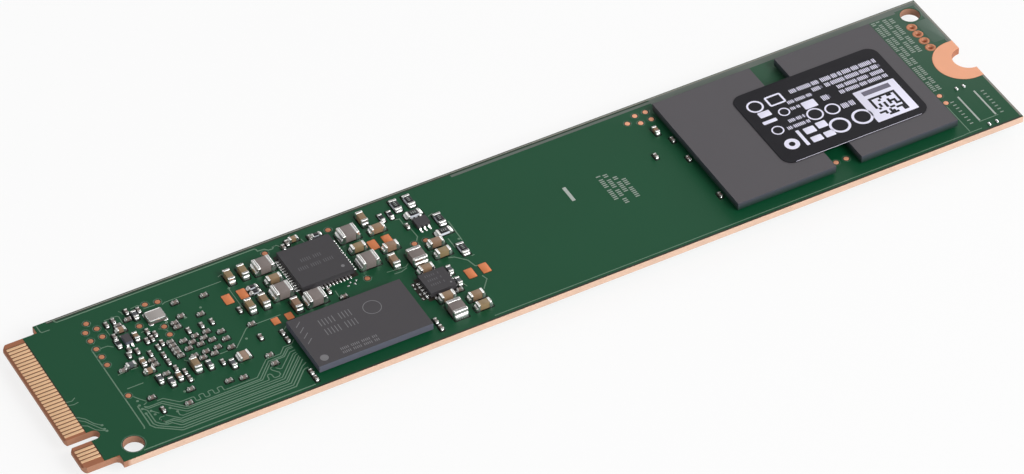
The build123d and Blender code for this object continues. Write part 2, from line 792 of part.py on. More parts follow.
with BuildPart() as capacitor_bodies_medium:
    with BuildSketch(Plane.XY.offset(upper_seat)):
        draw_bodies(medium_along, medium_across, medium_length, medium_width, medium_cap)
    extrude(amount=medium_height - cap_step)
capacitor_bodies_medium.part.label = "capacitor_bodies_medium"
export_step(capacitor_bodies_medium.part, "parts/capacitor_bodies_medium.step")

with BuildPart() as capacitor_ends_medium:
    with BuildSketch(Plane.XY.offset(upper_seat)):
        draw_ends(medium_along, medium_across, medium_length, medium_width, medium_cap)
    extrude(amount=medium_height)
capacitor_ends_medium.part.label = "capacitor_ends_medium"
export_step(capacitor_ends_medium.part, "parts/capacitor_ends_medium.step")

with BuildPart() as capacitors_small:
    with BuildSketch(Plane.XY.offset(upper_seat)):
        with Locations(*small_along):
            Rectangle(small_length, small_width)
        with Locations(*small_across):
            Rectangle(small_width, small_length)
    extrude(amount=small_height)
capacitors_small.part.label = "capacitors_small"
export_step(capacitors_small.part, "parts/capacitors_small.step")

# Resistors: white ceramic chips with a dark coat on top, in two sizes
with BuildPart() as resistor_cores:
    with BuildSketch(Plane.XY.offset(upper_seat)):
        draw_bodies(resistors_along, resistors_across, resistor_length, resistor_width, resistor_cap)
    extrude(amount=resistor_height - resistor_coat_height)
resistor_cores.part.label = "resistor_cores"
export_step(resistor_cores.part, "parts/resistor_cores.step")

with BuildPart() as resistor_coats:
    with BuildSketch(Plane.XY.offset(upper_seat + resistor_height - resistor_coat_height)):
        draw_bodies(resistors_along, resistors_across, resistor_length, resistor_width, resistor_cap)
    extrude(amount=resistor_coat_height)
resistor_coats.part.label = "resistor_coats"
export_step(resistor_coats.part, "parts/resistor_coats.step")

with BuildPart() as resistor_ends:
    with BuildSketch(Plane.XY.offset(upper_seat)):
        draw_ends(resistors_along, resistors_across, resistor_length, resistor_width, resistor_cap)
    extrude(amount=resistor_height)
resistor_ends.part.label = "resistor_ends"
export_step(resistor_ends.part, "parts/resistor_ends.step")

with BuildPart() as small_resistor_bodies:
    with BuildSketch(Plane.XY.offset(upper_seat)):
        draw_bodies(
            small_resistors_along, small_resistors_across, small_resistor_length,
            small_resistor_width, small_resistor_cap,
        )
    extrude(amount=small_resistor_height - cap_step)
small_resistor_bodies.part.label = "small_resistor_bodies"
export_step(small_resistor_bodies.part, "parts/small_resistor_bodies.step")

with BuildPart() as small_resistor_ends:
    with BuildSketch(Plane.XY.offset(upper_seat)):
        draw_ends(
            small_resistors_along, small_resistors_across, small_resistor_length,
            small_resistor_width, small_resistor_cap,
        )
    extrude(amount=small_resistor_height)
small_resistor_ends.part.label = "small_resistor_ends"
export_step(small_resistor_ends.part, "parts/small_resistor_ends.step")

# Line filter
with BuildPart() as filter_body:
    with BuildSketch(Plane.XY.offset(upper_seat)):
        draw_bodies(filters_along, [], filter_length, filter_width, filter_cap)
    extrude(amount=filter_height - cap_step)
filter_body.part.label = "filter_body"
export_step(filter_body.part, "parts/filter_body.step")

with BuildPart() as filter_ends:
    with BuildSketch(Plane.XY.offset(upper_seat)):
        draw_ends(filters_along, [], filter_length, filter_width, filter_cap)
    extrude(amount=filter_height)
filter_ends.part.label = "filter_ends"
export_step(filter_ends.part, "parts/filter_ends.step")

# Hold-up capacitors: moulded blocks in two rows, standing on feet folded under their ends
holdup_row_y = (holdup_length + holdup_row_gap) / 2
holdup_bank = GridLocations(holdup_pitch, 2 * holdup_row_y, holdup_columns, 2)
holdup_spots = [(holdup_x + spot.position.X, spot.position.Y) for spot in holdup_bank]

with BuildPart() as holdup_capacitors:
    with BuildSketch(Plane.XY.offset(lower_seat - holdup_foot_thickness)):
        with Locations(*holdup_spots):
            Rectangle(holdup_width, holdup_length - 2 * holdup_foot_thickness)
    extrude(amount=-holdup_height)
holdup_capacitors.part.label = "holdup_capacitors"
export_step(holdup_capacitors.part, "parts/holdup_capacitors.step")

with BuildPart() as holdup_feet:
    for x, y in holdup_spots:
        for side in (-1, 1):
            end = y + side * holdup_length / 2
            face = end - side * holdup_foot_thickness
            seat = lower_seat - holdup_foot_thickness
            foot_bottom = seat - holdup_height / 2
            foot = end - side * holdup_foot_length
            with BuildSketch(Plane.YZ.offset(x)):
                Polygon(
                    (end, lower_seat), (end, foot_bottom), (face, foot_bottom), (face, seat),
                    (foot, seat), (foot, lower_seat), align=None,
                )
            extrude(amount=holdup_foot_width / 2, both=True)
holdup_feet.part.label = "holdup_feet"
export_step(holdup_feet.part, "parts/holdup_feet.step")

with BuildPart() as lower_capacitor_bodies:
    with BuildSketch(Plane.XY.offset(lower_seat)):
        draw_bodies([], lower_capacitors, medium_length, medium_width, medium_cap)
    extrude(amount=cap_step - medium_height)
lower_capacitor_bodies.part.label = "lower_capacitor_bodies"
export_step(lower_capacitor_bodies.part, "parts/lower_capacitor_bodies.step")

with BuildPart() as lower_capacitor_ends:
    with BuildSketch(Plane.XY.offset(lower_seat)):
        draw_ends([], lower_capacitors, medium_length, medium_width, medium_cap)
    extrude(amount=-medium_height)
lower_capacitor_ends.part.label = "lower_capacitor_ends"
export_step(lower_capacitor_ends.part, "parts/lower_capacitor_ends.step")

# Label: a dark film with round corners that bridges the two upper flash packages
with BuildPart() as label:
    with BuildSketch(Plane.XY.offset(upper_body + flash_height)):
        with Locations((flash_middle_x + label_shift_x, flash_y + label_shift_y)):
            RectangleRounded(label_length, label_width, label_corner)
    extrude(amount=label_thickness)
label.part.label = "label"
export_step(label.part, "parts/label.step")
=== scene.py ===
"""Looks of a solid state drive on a bare card, built round its fixed CAD frame.

Drawings are in millimetres in the card's own frame: x along the card from its middle,
y across it, and z up from the plane that it lies on. Each is scaled to metres when it
becomes a mesh. Printed and etched marks are placed from the contact edge.
"""

import logging
import math
import random
from collections.abc import Iterable, Sequence
from dataclasses import dataclass, field
from enum import Enum

import bpy
from mathutils import Matrix, Vector


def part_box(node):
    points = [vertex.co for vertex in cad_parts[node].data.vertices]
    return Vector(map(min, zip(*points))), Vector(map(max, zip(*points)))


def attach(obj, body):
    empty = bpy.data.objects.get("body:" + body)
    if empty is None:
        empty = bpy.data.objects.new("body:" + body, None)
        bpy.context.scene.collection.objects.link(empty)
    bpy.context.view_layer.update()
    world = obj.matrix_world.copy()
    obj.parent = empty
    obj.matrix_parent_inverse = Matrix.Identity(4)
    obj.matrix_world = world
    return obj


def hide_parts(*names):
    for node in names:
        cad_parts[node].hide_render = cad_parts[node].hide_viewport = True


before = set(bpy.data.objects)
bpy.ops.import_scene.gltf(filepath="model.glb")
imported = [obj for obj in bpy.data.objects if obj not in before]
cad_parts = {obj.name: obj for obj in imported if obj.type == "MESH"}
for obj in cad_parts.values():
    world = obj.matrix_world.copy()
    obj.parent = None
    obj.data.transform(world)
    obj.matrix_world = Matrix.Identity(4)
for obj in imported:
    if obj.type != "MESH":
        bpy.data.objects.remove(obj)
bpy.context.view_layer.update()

log = logging.getLogger("drive_card")

MM = 0.001
BODY = "root"
SEED = 22110
# Steps in a millimetre to which points are rounded before like ones are joined
WELD_STEPS = 2000
# Least radius of an upright corner
LEAST_CORNER = 1e-4

Flat = tuple[float, float]
Point = tuple[float, float, float]
Colour = tuple[float, float, float]
Ring = list[Point]


# Reading the frame


@dataclass(frozen=True)
class Block:
    """An upright box of the frame, in millimetres."""

    x: float
    y: float
    half_x: float
    half_y: float
    foot: float
    top: float

    @property
    def height(self) -> float:
        """How far the top is above the foot."""
        return self.top - self.foot

    def gap_to(self, other: "Block") -> float:
        """The distance between two boxes' centres, seen from above."""
        return math.hypot(self.x - other.x, self.y - other.y)


def block_round(points: Sequence[Vector]) -> Block:
    """Measures the box round some points of the frame.

    Args:
        points: Points in metres.

    Returns:
        The box in millimetres.
    """
    low = [min(p[i] for p in points) / MM for i in range(3)]
    high = [max(p[i] for p in points) / MM for i in range(3)]
    return Block(
        x=(low[0] + high[0]) / 2,
        y=(low[1] + high[1]) / 2,
        half_x=(high[0] - low[0]) / 2,
        half_y=(high[1] - low[1]) / 2,
        foot=low[2],
        top=high[2],
    )


def node_block(node: str) -> Block:
    """The box of one CAD node, in millimetres."""
    return block_round(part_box(node))


def solids_of(node: str) -> list[Block]:
    """Finds the separate solids of one CAD node.

    Args:
        node: The node's name.

    Returns:
        The box of each solid, in order along the card and then across it.
    """
    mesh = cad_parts[node].data
    owner: dict[tuple[int, ...], tuple[int, ...]] = {}

    def root(key: tuple[int, ...]) -> tuple[int, ...]:
        """Follows a place to the one that stands for its solid.

        Args:
            key: The place.

        Returns:
            The place that stands for it.
        """
        while owner[key] != key:
            owner[key] = owner[owner[key]]
            key = owner[key]
        return key

    places = [tuple(round(c / MM * WELD_STEPS) for c in v.co) for v in mesh.vertices]
    for key in places:
        owner.setdefault(key, key)
    for face in mesh.polygons:
        first = root(places[face.vertices[0]])
        for index in face.vertices[1:]:
            owner[root(places[index])] = first
    groups: dict[tuple[int, ...], list[Vector]] = {}
    for vertex, key in zip(mesh.vertices, places):
        groups.setdefault(root(key), []).append(vertex.co)
    found = [block_round(group) for group in groups.values()]
    return sorted(found, key=lambda b: (round(b.x, 2), round(b.y, 2)))


class Side(Enum):
    """The card's two faces."""

    UPPER = 1
    LOWER = -1


@dataclass(frozen=True)
class Card:
    """The card's lines that drawings are placed from, in millimetres."""

    tip: float
    end: float
    half_width: float
    board_top: float
    board_bottom: float
    seat: float
    lower_seat: float

    @staticmethod
    def measured() -> "Card":
        """Reads the card's lines from the frame.

        Returns:
            The card.
        """
        board = node_block("board")
        return Card(
            tip=board.x - board.half_x,
            end=board.x + board.half_x,
            half_width=board.half_y,
            board_top=board.top,
            board_bottom=board.foot,
            seat=node_block("solder_mask_upper").top,
            lower_seat=node_block("solder_mask_lower").foot,
        )

    def seat_of(self, side: Side) -> float:
        """The level that parts on one side stand on."""
        return self.seat if side is Side.UPPER else self.lower_seat


# Drawing meshes


@dataclass(frozen=True)
class Stand:
    """Where a part stands on the card, and how it is turned.

    A turned part has its length across the card. A part on the lower side is drawn
    upside down from its seat.
    """

    x: float = 0.0
    y: float = 0.0
    seat: float = 0.0
    turned: bool = False
    side: Side = Side.UPPER

    def place(self, u: float, v: float, rise: float) -> Point:
        """Turns a part's own coordinates into the card's."""
        x, y = (-v, u) if self.turned else (u, v)
        return (self.x + x, self.y + y, self.seat + self.side.value * rise)


def rounded_outline(
    half_u: float, half_v: float, corner: float, steps: int, shift: Flat = (0.0, 0.0)
) -> list[Flat]:
    """A rectangle with round corners, drawn counterclockwise.

    Args:
        half_u: Half its length.
        half_v: Half its width.
        corner: Radius of its corners.
        steps: Edges in each corner.
        shift: Where its centre lies.

    Returns:
        Its points.
    """
    corner = max(min(corner, half_u, half_v), LEAST_CORNER)
    outline = []
    for quarter, (side_u, side_v) in enumerate(((1, 1), (-1, 1), (-1, -1), (1, -1))):
        for step in range(steps + 1):
            angle = math.pi / 2 * (quarter + step / steps)
            outline.append((
                shift[0] + side_u * (half_u - corner) + corner * math.cos(angle),
                shift[1] + side_v * (half_v - corner) + corner * math.sin(angle),
            ))
    return outline


def circle(radius: float, steps: int, centre: Flat = (0.0, 0.0)) -> list[Flat]:
    """The points of a circle, counterclockwise."""
    turns = (math.tau * step / steps for step in range(steps))
    return [(centre[0] + radius * math.cos(a), centre[1] + radius * math.sin(a)) for a in turns]


def lifted(outline: Iterable[Flat], rise: float) -> Ring:
    """An outline at one height."""
    return [(u, v, rise) for u, v in outline]


# Cross-section of a frame with a round top: share of its width, and of its height
RIM_SECTION = (
    (0.0, 0.0), (0.0, 0.5), (0.12, 0.82), (0.32, 1.0), (0.68, 1.0), (0.88, 0.82), (1.0, 0.5), (1.0, 0.0),
)
# Tops of flat drawings above the face that they lie on
INK_TOP = 0.002
MARK_TOP = 0.003
FILM_TOP = 0.004
SHADE_TOP = 0.005
PRINT_TOP = 0.006
ETCHED_TOP = 0.008
# Radius of a flat drawing's top edges
FILM_EDGE = 0.002
# How a dished top sinks inside its round edge: share of the edge, and of the dish
DISH_SECTION = ((1.3, 0.2), (1.9, 1.0))
# Levels from a dome's rim to its top
DOME_STEPS = 6
# Edges round a flat ring
WASHER_STEPS = 28
# Least cosine of half a line's turn, which keeps a sharp corner from running out
LEAST_MITRE = 0.4
# Shorter than this, a direction counts as none
LEAST_LENGTH = 1e-6
# Edges sharper than this many degrees stay sharp
SMOOTH_BELOW = 40.0


class Draft:
    """A mesh while it is drawn: its points, its faces, and each face's finish and tone.

    Each form stands on a stand, and its heights are measured from there. It wears the
    drawing's first finish unless another is given. Its tone is its shade among its
    like, from 0 to 1.
    """

    def __init__(self, name: str, *finishes: "Finish") -> None:
        """Starts an empty drawing.

        Args:
            name: The piece's name.
            finishes: Every finish that its faces may wear.
        """
        self.name = name
        self.finishes = finishes
        self.points: list[Point] = []
        self.faces: list[tuple[int, ...]] = []
        self.worn: list[int] = []
        self.tones: list[float] = []

    def _face(self, corners: Sequence[int], side: Side, worn: int) -> None:
        """Adds one face, turned outwards on either side of the card."""
        self.faces.append(tuple(corners) if side is Side.UPPER else tuple(reversed(corners)))
        self.worn.append(worn)

    def _number(self, finish: "Finish | None") -> int:
        """The place of a finish among the drawing's own."""
        return self.finishes.index(finish) if finish else 0

    def loft(
        self, stand: Stand, rings: Sequence[Ring], finish: "Finish | None" = None, tone: float = 0.5,
        foot: bool = False, lid: bool = True,
    ) -> None:
        """Joins rings of equal length from the bottom one to the top one.

        Args:
            stand: Where the rings are drawn.
            rings: The rings, counterclockwise from above.
            finish: What it wears.
            tone: Its shade.
            foot: Whether the bottom ring is closed.
            lid: Whether the top ring is closed.
        """
        start, count, worn = len(self.points), len(rings[0]), self._number(finish)
        for ring in rings:
            self.points.extend(stand.place(*point) for point in ring)
        self.tones.extend([tone] * (count * len(rings)))
        for level in range(len(rings) - 1):
            lower, upper = start + level * count, start + (level + 1) * count
            for here in range(count):
                there = (here + 1) % count
                corners = (lower + here, lower + there, upper + there, upper + here)
                self._face(corners, stand.side, worn)
        if lid:
            top = range(start + (len(rings) - 1) * count, start + len(rings) * count)
            self._face(top, stand.side, worn)
        if foot:
            self._face(range(start + count - 1, start - 1, -1), stand.side, worn)

    def soft_block(
        self, stand: Stand, half_u: float, half_v: float, foot: float, top: float, corner: float,
        edge: float, finish: "Finish | None" = None, tone: float = 0.5, steps: int = 3,
        shift: Flat = (0.0, 0.0), dish: float = 0.0,
    ) -> None:
        """Draws a block with round upright corners and round top edges.

        Args:
            stand: Where it stands.
            half_u: Half its length.
            half_v: Half its width.
            foot: Height of its bottom.
            top: Height of its top.
            corner: Radius of the upright corners.
            edge: Radius of the top edges.
            finish: What it wears.
            tone: Its shade.
            steps: Edges in each rounding.
            shift: Where its centre lies from the stand.
            dish: How far the top's middle sinks below its edges.
        """
        edge = min(edge, half_u, half_v, (top - foot) / 2)
        levels = [(0.0, foot), (0.0, top - edge)]
        for step in range(1, steps + 1):
            angle = math.pi / 2 * step / steps
            levels.append((edge * (1 - math.cos(angle)), top - edge * (1 - math.sin(angle))))
        if dish:
            levels.extend((edge * inset, top - dish * depth) for inset, depth in DISH_SECTION)
        rings = [
            lifted(rounded_outline(half_u - inset, half_v - inset, corner - inset, steps, shift), rise)
            for inset, rise in levels
        ]
        self.loft(stand, rings, finish, tone)

    def disc(
        self, stand: Stand, radius: float, foot: float, top: float, finish: "Finish | None" = None,
        steps: int = 24, centre: Flat = (0.0, 0.0), dome: float = 0.0,
    ) -> None:
        """Draws a flat or domed disc.

        Args:
            stand: Where it is drawn.
            radius: Its radius.
            foot: Height of its bottom.
            top: Height of its top, or of a dome's rim.
            finish: What it wears.
            steps: Edges round it.
            centre: Where its middle lies from the stand.
            dome: How far its middle rises above the rim.
        """
        rings = [lifted(circle(radius, steps, centre), rise) for rise in (foot, top)]
        if dome:
            for angle in (math.pi * step / (2 * DOME_STEPS) for step in range(1, DOME_STEPS)):
                ring = circle(radius * math.cos(angle), steps, centre)
                rings.append(lifted(ring, top + dome * math.sin(angle)))
        self.loft(stand, rings, finish)

    def washer(self, stand: Stand, outer: float, inner: float, top: float, centre: Flat) -> None:
        """Draws a flat ring with an open middle.

        Args:
            stand: Where it is drawn.
            outer: Its outer radius.
            inner: Its inner radius.
            top: Height of its top.
            centre: Where its middle lies from the stand.
        """
        profile = ((outer, 0.0), (outer, top), (inner, top), (inner, 0.0))
        rings = [lifted(circle(radius, WASHER_STEPS, centre), rise) for radius, rise in profile]
        self.loft(stand, rings, lid=False)

    def rim(
        self, stand: Stand, half_u: float, half_v: float, corner: float, width: float, foot: float,
        top: float, finish: "Finish | None" = None, steps: int = 5,
    ) -> None:
        """Draws a raised frame with a round top and an open middle.

        Args:
            stand: Where its centre is.
            half_u: Half its outer length.
            half_v: Half its outer width.
            corner: Radius of its outer corners: half its width makes a ring.
            width: Width of the frame.
            foot: Height of its bottom.
            top: Height of its top.
            finish: What it wears.
            steps: Edges in each corner.
        """
        rings = []
        for across, share in RIM_SECTION:
            inset = across * width
            outline = rounded_outline(half_u - inset, half_v - inset, corner - inset, steps)
            rings.append(lifted(outline, foot + share * (top - foot)))
        self.loft(stand, rings, finish, lid=False)

    def stroke(
        self, stand: Stand, line: Sequence[Flat], width: float, foot: float, top: float,
        finish: "Finish | None" = None, tone: float = 0.5,
    ) -> None:
        """Draws a flat line of even width through some points, with mitred corners.

        Args:
            stand: Where it is drawn.
            line: The points of its middle.
            width: Its width.
            foot: Height of its bottom.
            top: Height of its top.
            finish: What it wears.
            tone: Its shade.
        """
        left, right = [], []
        for index, (u, v) in enumerate(line):
            before = line[max(index - 1, 0)]
            after = line[min(index + 1, len(line) - 1)]
            back = Vector((u - before[0], v - before[1]))
            ahead = Vector((after[0] - u, after[1] - v))
            back = back.normalized() if back.length else ahead.normalized()
            ahead = ahead.normalized() if ahead.length else back
            middle = back + ahead
            middle = middle.normalized() if middle.length > LEAST_LENGTH else ahead
            reach = width / 2 / max(middle.dot(ahead), LEAST_MITRE)
            normal = Vector((-middle.y, middle.x)) * reach
            left.append((u + normal.x, v + normal.y))
            right.append((u - normal.x, v - normal.y))
        start, count, worn = len(self.points), len(line), self._number(finish)
        for rise in (foot, top):
            for edge in (right, left):
                self.points.extend(stand.place(u, v, rise) for u, v in edge)
        self.tones.extend([tone] * (4 * count))
        low_right, low_left, high_right, high_left = (start + count * part for part in range(4))
        strips = ((high_right, high_left), (low_right, high_right), (high_left, low_left))
        for here in range(count - 1):
            for first, second in strips:
                corners = (first + here, first + here + 1, second + here + 1, second + here)
                self._face(corners, stand.side, worn)
        self._face((low_left, low_right, high_right, high_left), stand.side, worn)
        end = (low_right, low_left, high_left, high_right)
        self._face([corner + count - 1 for corner in end], stand.side, worn)

    def build(self, slot: str, *nodes: str) -> None:
        """Makes the piece, and has it ride on the card.

        Args:
            slot: The record's material slot; not used.
            nodes: The CAD nodes that it stands for.
        """
        mesh = bpy.data.meshes.new(self.name)
        mesh.from_pydata([[c * MM for c in point] for point in self.points], [], self.faces)
        mesh.polygons.foreach_set("material_index", self.worn)
        mesh.polygons.foreach_set("use_smooth", [True] * len(self.faces))
        tone = mesh.attributes.new("tone", "FLOAT", "POINT")
        tone.data.foreach_set("value", self.tones)
        for finish in self.finishes:
            mesh.materials.append(finish.material())
        mesh.update()
        mesh.set_sharp_from_angle(angle=math.radians(SMOOTH_BELOW))
        piece = bpy.data.objects.new(self.name, mesh)
        bpy.context.scene.collection.objects.link(piece)
        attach(piece, BODY)
        if nodes:
            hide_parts(*nodes)
        log.info("%s: %d faces, stands for %s", self.name, len(self.faces), ", ".join(nodes) or "nothing")


# Shader groups


# Sockets of a mix of two colours, which share their names with its other kinds
MIX_SHARE, MIX_FIRST, MIX_SECOND, MIX_RESULT = 0, 6, 7, 2


class Tree:
    """Shorthand for adding nodes to one tree and joining them."""

    def __init__(self, tree: bpy.types.NodeTree) -> None:
        """Wraps a node tree."""
        self.tree = tree

    def feed(self, socket: bpy.types.NodeSocket, value: object) -> None:
        """Joins another node's output to an input, or sets its value.

        Args:
            socket: The input.
            value: An output, a colour of three numbers, or any other value.
        """
        if isinstance(value, bpy.types.NodeSocket):
            self.tree.links.new(value, socket)
        elif socket.type == "RGBA" and len(value) == 3:
            socket.default_value = (*value, 1.0)
        else:
            socket.default_value = value

    def add(
        self, kind: str, inputs: dict[str | int, object] | None = None, **settings: object
    ) -> bpy.types.Node:
        """Adds a node.

        Args:
            kind: Blender's name of the node's type.
            inputs: A value or another node's output for each input socket.
            settings: The node's own properties.

        Returns:
            The node.
        """
        node = self.tree.nodes.new(kind)
        for name, value in settings.items():
            setattr(node, name, value)
        for name, value in (inputs or {}).items():
            self.feed(node.inputs[name], value)
        return node

    def math(
        self, operation: str, first: object, second: object = 0.0, clamp: bool = False
    ) -> bpy.types.NodeSocket:
        """Adds a calculation with one or two values and returns its output."""
        node = self.add("ShaderNodeMath", {0: first, 1: second}, operation=operation, use_clamp=clamp)
        return node.outputs[0]

    def mix(self, share: object, first: object, second: object) -> bpy.types.NodeSocket:
        """Adds a mix of two colours and returns its output."""
        inputs = {MIX_SHARE: share, MIX_FIRST: first, MIX_SECOND: second}
        return self.add("ShaderNodeMix", inputs, data_type="RGBA").outputs[MIX_RESULT]

    def scaled(self, colour: object, level: object) -> bpy.types.NodeSocket:
        """Adds a colour made lighter or darker and returns its output."""
        node = self.add("ShaderNodeVectorMath", {0: colour, "Scale": level}, operation="SCALE")
        return node.outputs[0]

    def split(self, vector: bpy.types.NodeSocket) -> bpy.types.NodeOutputs:
        """Adds a split of a vector and returns its outputs, by their names."""
        return self.add("ShaderNodeSeparateXYZ", {0: vector}).outputs

    def object_place(self) -> bpy.types.NodeSocket:
        """The surface's place in the card's frame, in metres."""
        return self.add("ShaderNodeTexCoord").outputs["Object"]

    def noise(self, size: object, detail: float = 2.0, roughness: float = 0.5) -> bpy.types.NodeSocket:
        """Adds a noise pattern with values from about 0 to 1.

        Args:
            size: Size of its patches, in millimetres.
            detail: How many finer patterns lie over it.
            roughness: How strong those are.

        Returns:
            Its output.
        """
        scale = self.math("DIVIDE", 1 / MM, size)
        inputs = {"Vector": self.object_place(), "Scale": scale, "Detail": detail, "Roughness": roughness}
        return self.add("ShaderNodeTexNoise", inputs).outputs[0]

    def ramp(self, value: object, start: float, end: float) -> bpy.types.NodeSocket:
        """Adds a rise from 0 to 1.

        Args:
            value: What it follows, in metres.
            start: Where it starts, in millimetres.
            end: Where it is whole.

        Returns:
            Its output.
        """
        past = self.math("SUBTRACT", value, start * MM)
        return self.math("MULTIPLY", past, 1 / ((end - start) * MM), clamp=True)


class Effect(Enum):
    """The shader groups that several finishes share."""

    GRAIN = "surface grain"
    MOTTLE = "colour mottle"
    SMUDGE = "roughness smudge"


def group_with(
    effect: Effect, inputs: Sequence[tuple[str, str, object]], outputs: Sequence[tuple[str, str]]
) -> Tree:
    """Starts a shader group.

    Args:
        effect: Which group it is.
        inputs: The name, socket type and starting value of each input.
        outputs: The name and socket type of each output.

    Returns:
        The group's tree, with its two end nodes named "in" and "out".
    """
    tree = bpy.data.node_groups.new(effect.value, "ShaderNodeTree")
    for name, kind, value in inputs:
        socket = tree.interface.new_socket(name=name, in_out="INPUT", socket_type=kind)
        socket.default_value = value
    for name, kind in outputs:
        tree.interface.new_socket(name=name, in_out="OUTPUT", socket_type=kind)
    tree.nodes.new("NodeGroupInput").name = "in"
    tree.nodes.new("NodeGroupOutput").name = "out"
    return Tree(tree)


def grain_group() -> Tree:
    """Makes the fine grain of moulded, coated and plated surfaces.

    Returns:
        The group, which puts out a height.
    """
    made = group_with(
        Effect.GRAIN, [("Size", "NodeSocketFloat", 0.1)], [("Height", "NodeSocketFloat")]
    )
    start, end = made.tree.nodes["in"], made.tree.nodes["out"]
    made.feed(end.inputs["Height"], made.noise(start.outputs["Size"], detail=3.0, roughness=0.6))
    return made


def mottle_group() -> Tree:
    """Makes the mottle, which varies a colour in patches, and from one like part to the next.

    Returns:
        The group, which puts out a colour.
    """
    made = group_with(
        Effect.MOTTLE,
        [
            ("Colour", "NodeSocketColor", (0.5, 0.5, 0.5, 1.0)),
            ("Patch Size", "NodeSocketFloat", 2.0),
            ("Spread", "NodeSocketFloat", 0.1),
            ("Tone Spread", "NodeSocketFloat", 0.0),
        ],
        [("Colour", "NodeSocketColor")],
    )
    start, end = made.tree.nodes["in"].outputs, made.tree.nodes["out"]
    patches = made.noise(start["Patch Size"], detail=3.0)
    patch = made.math("MULTIPLY", made.math("SUBTRACT", patches, 0.5), start["Spread"])
    tone = made.add("ShaderNodeAttribute", attribute_name="tone").outputs["Fac"]
    shade = made.math("MULTIPLY", made.math("SUBTRACT", tone, 0.5), start["Tone Spread"])
    level = made.math("ADD", made.math("ADD", patch, shade), 1.0)
    made.feed(end.inputs["Colour"], made.scaled(start["Colour"], level))
    return made


def smudge_group() -> Tree:
    """Makes the smudge, which roughens and smooths a surface in patches.

    Returns:
        The group, which puts out a roughness.
    """
    made = group_with(
        Effect.SMUDGE,
        [
            ("Roughness", "NodeSocketFloat", 0.4),
            ("Patch Size", "NodeSocketFloat", 1.0),
            ("Spread", "NodeSocketFloat", 0.1),
        ],
        [("Roughness", "NodeSocketFloat")],
    )
    start, end = made.tree.nodes["in"].outputs, made.tree.nodes["out"]
    patches = made.math("SUBTRACT", made.noise(start["Patch Size"], detail=2.0), 0.5)
    shift = made.math("MULTIPLY", patches, start["Spread"])
    made.feed(end.inputs["Roughness"], made.math("ADD", start["Roughness"], shift, clamp=True))
    return made


GROUPS: dict[Effect, Tree] = {
    Effect.GRAIN: grain_group(),
    Effect.MOTTLE: mottle_group(),
    Effect.SMUDGE: smudge_group(),
}


# Finishes


@dataclass(frozen=True)
class Finish:
    """One surface finish. Sizes are in millimetres.

    A finish that has a pattern of its own overrides the method that gives its colour.
    """

    name: str
    colour: Colour
    roughness: float
    metallic: float = 0.0
    patch: float = 2.0
    spread: float = 0.12
    tone_spread: float = 0.0
    smudge: float = 0.1
    grain: float = 0.08
    relief: float = 0.002
    gloss: float = 0.5

    def own_colour(self, tree: Tree) -> object:
        """The colour before it is mottled: one colour, or the output of a pattern."""
        return self.colour

    def material(self) -> bpy.types.Material:
        """Makes the material, once for each finish.

        Returns:
            The material.
        """
        made = bpy.data.materials.get(self.name)
        if made:
            return made
        made = bpy.data.materials.new(self.name)
        made.use_nodes = True
        made.diffuse_color = (*self.colour, 1.0)
        tree = Tree(made.node_tree)
        shader = made.node_tree.nodes["Principled BSDF"].inputs
        shader["Metallic"].default_value = self.metallic
        shader["Specular IOR Level"].default_value = self.gloss
        mottle, smudge, grain = (
            tree.add("ShaderNodeGroup", node_tree=GROUPS[effect].tree)
            for effect in (Effect.MOTTLE, Effect.SMUDGE, Effect.GRAIN)
        )
        values = (
            (mottle, "Colour", self.own_colour(tree)), (mottle, "Patch Size", self.patch),
            (mottle, "Spread", self.spread), (mottle, "Tone Spread", self.tone_spread),
            (smudge, "Roughness", self.roughness), (smudge, "Patch Size", self.patch / 2),
            (smudge, "Spread", self.smudge), (grain, "Size", self.grain),
        )
        for group, name, value in values:
            tree.feed(group.inputs[name], value)
        bump = tree.add("ShaderNodeBump", {
            "Strength": 1.0, "Distance": self.relief * MM, "Height": grain.outputs["Height"],
        })
        tree.feed(shader["Base Color"], mottle.outputs["Colour"])
        tree.feed(shader["Roughness"], smudge.outputs["Roughness"])
        tree.feed(shader["Normal"], bump.outputs["Normal"])
        return made


@dataclass(frozen=True)
class SidedFinish(Finish):
    """A finish whose upright sides have another colour: on the laminate its own paler cut edges, and on the
    moulds a painted shade.
    """

    # On the moulds this default side colour is a painted shade, darker and bluer than the tops
    side_colour: Colour = (0.1, 0.105, 0.14)
    flat_above: float = 0.9

    def sides(self, tree: Tree) -> object:
        """The colour of the upright sides."""
        return self.side_colour

    def own_colour(self, tree: Tree) -> object:
        """Mixes the flat faces' colour with the sides' by which way a face looks.

        Args:
            tree: The material's tree.

        Returns:
            The colour's output.
        """
        upright = tree.split(tree.add("ShaderNodeNewGeometry").outputs["Normal"])["Z"]
        flat = tree.math("GREATER_THAN", tree.math("ABSOLUTE", upright), self.flat_above)
        return tree.mix(flat, self.sides(tree), self.colour)


@dataclass(frozen=True)
class MouldFinish(SidedFinish):
    """A mould whose sides carry a painted shade that darkens towards the board, away from the light, into a
    painted green bounce from the board at the foot.

    Its foot and its shoulder are measured from the card's middle, on either face.
    """

    # Painted shade at the sides' foot, tinted by painted green bounce light from the board
    foot_shade_colour: Colour = (0.008, 0.033, 0.024)
    card_middle: float = 1.53
    foot: float = 0.75
    shoulder: float = 1.5

    def sides(self, tree: Tree) -> object:
        """Paints the sides' shade darker from the shoulder to the foot.

        Args:
            tree: The material's tree.

        Returns:
            The colour's output.
        """
        height = tree.split(tree.object_place())["Z"]
        off = tree.math("ABSOLUTE", tree.math("SUBTRACT", height, self.card_middle * MM))
        return tree.mix(tree.ramp(off, self.foot, self.shoulder), self.foot_shade_colour, self.side_colour)


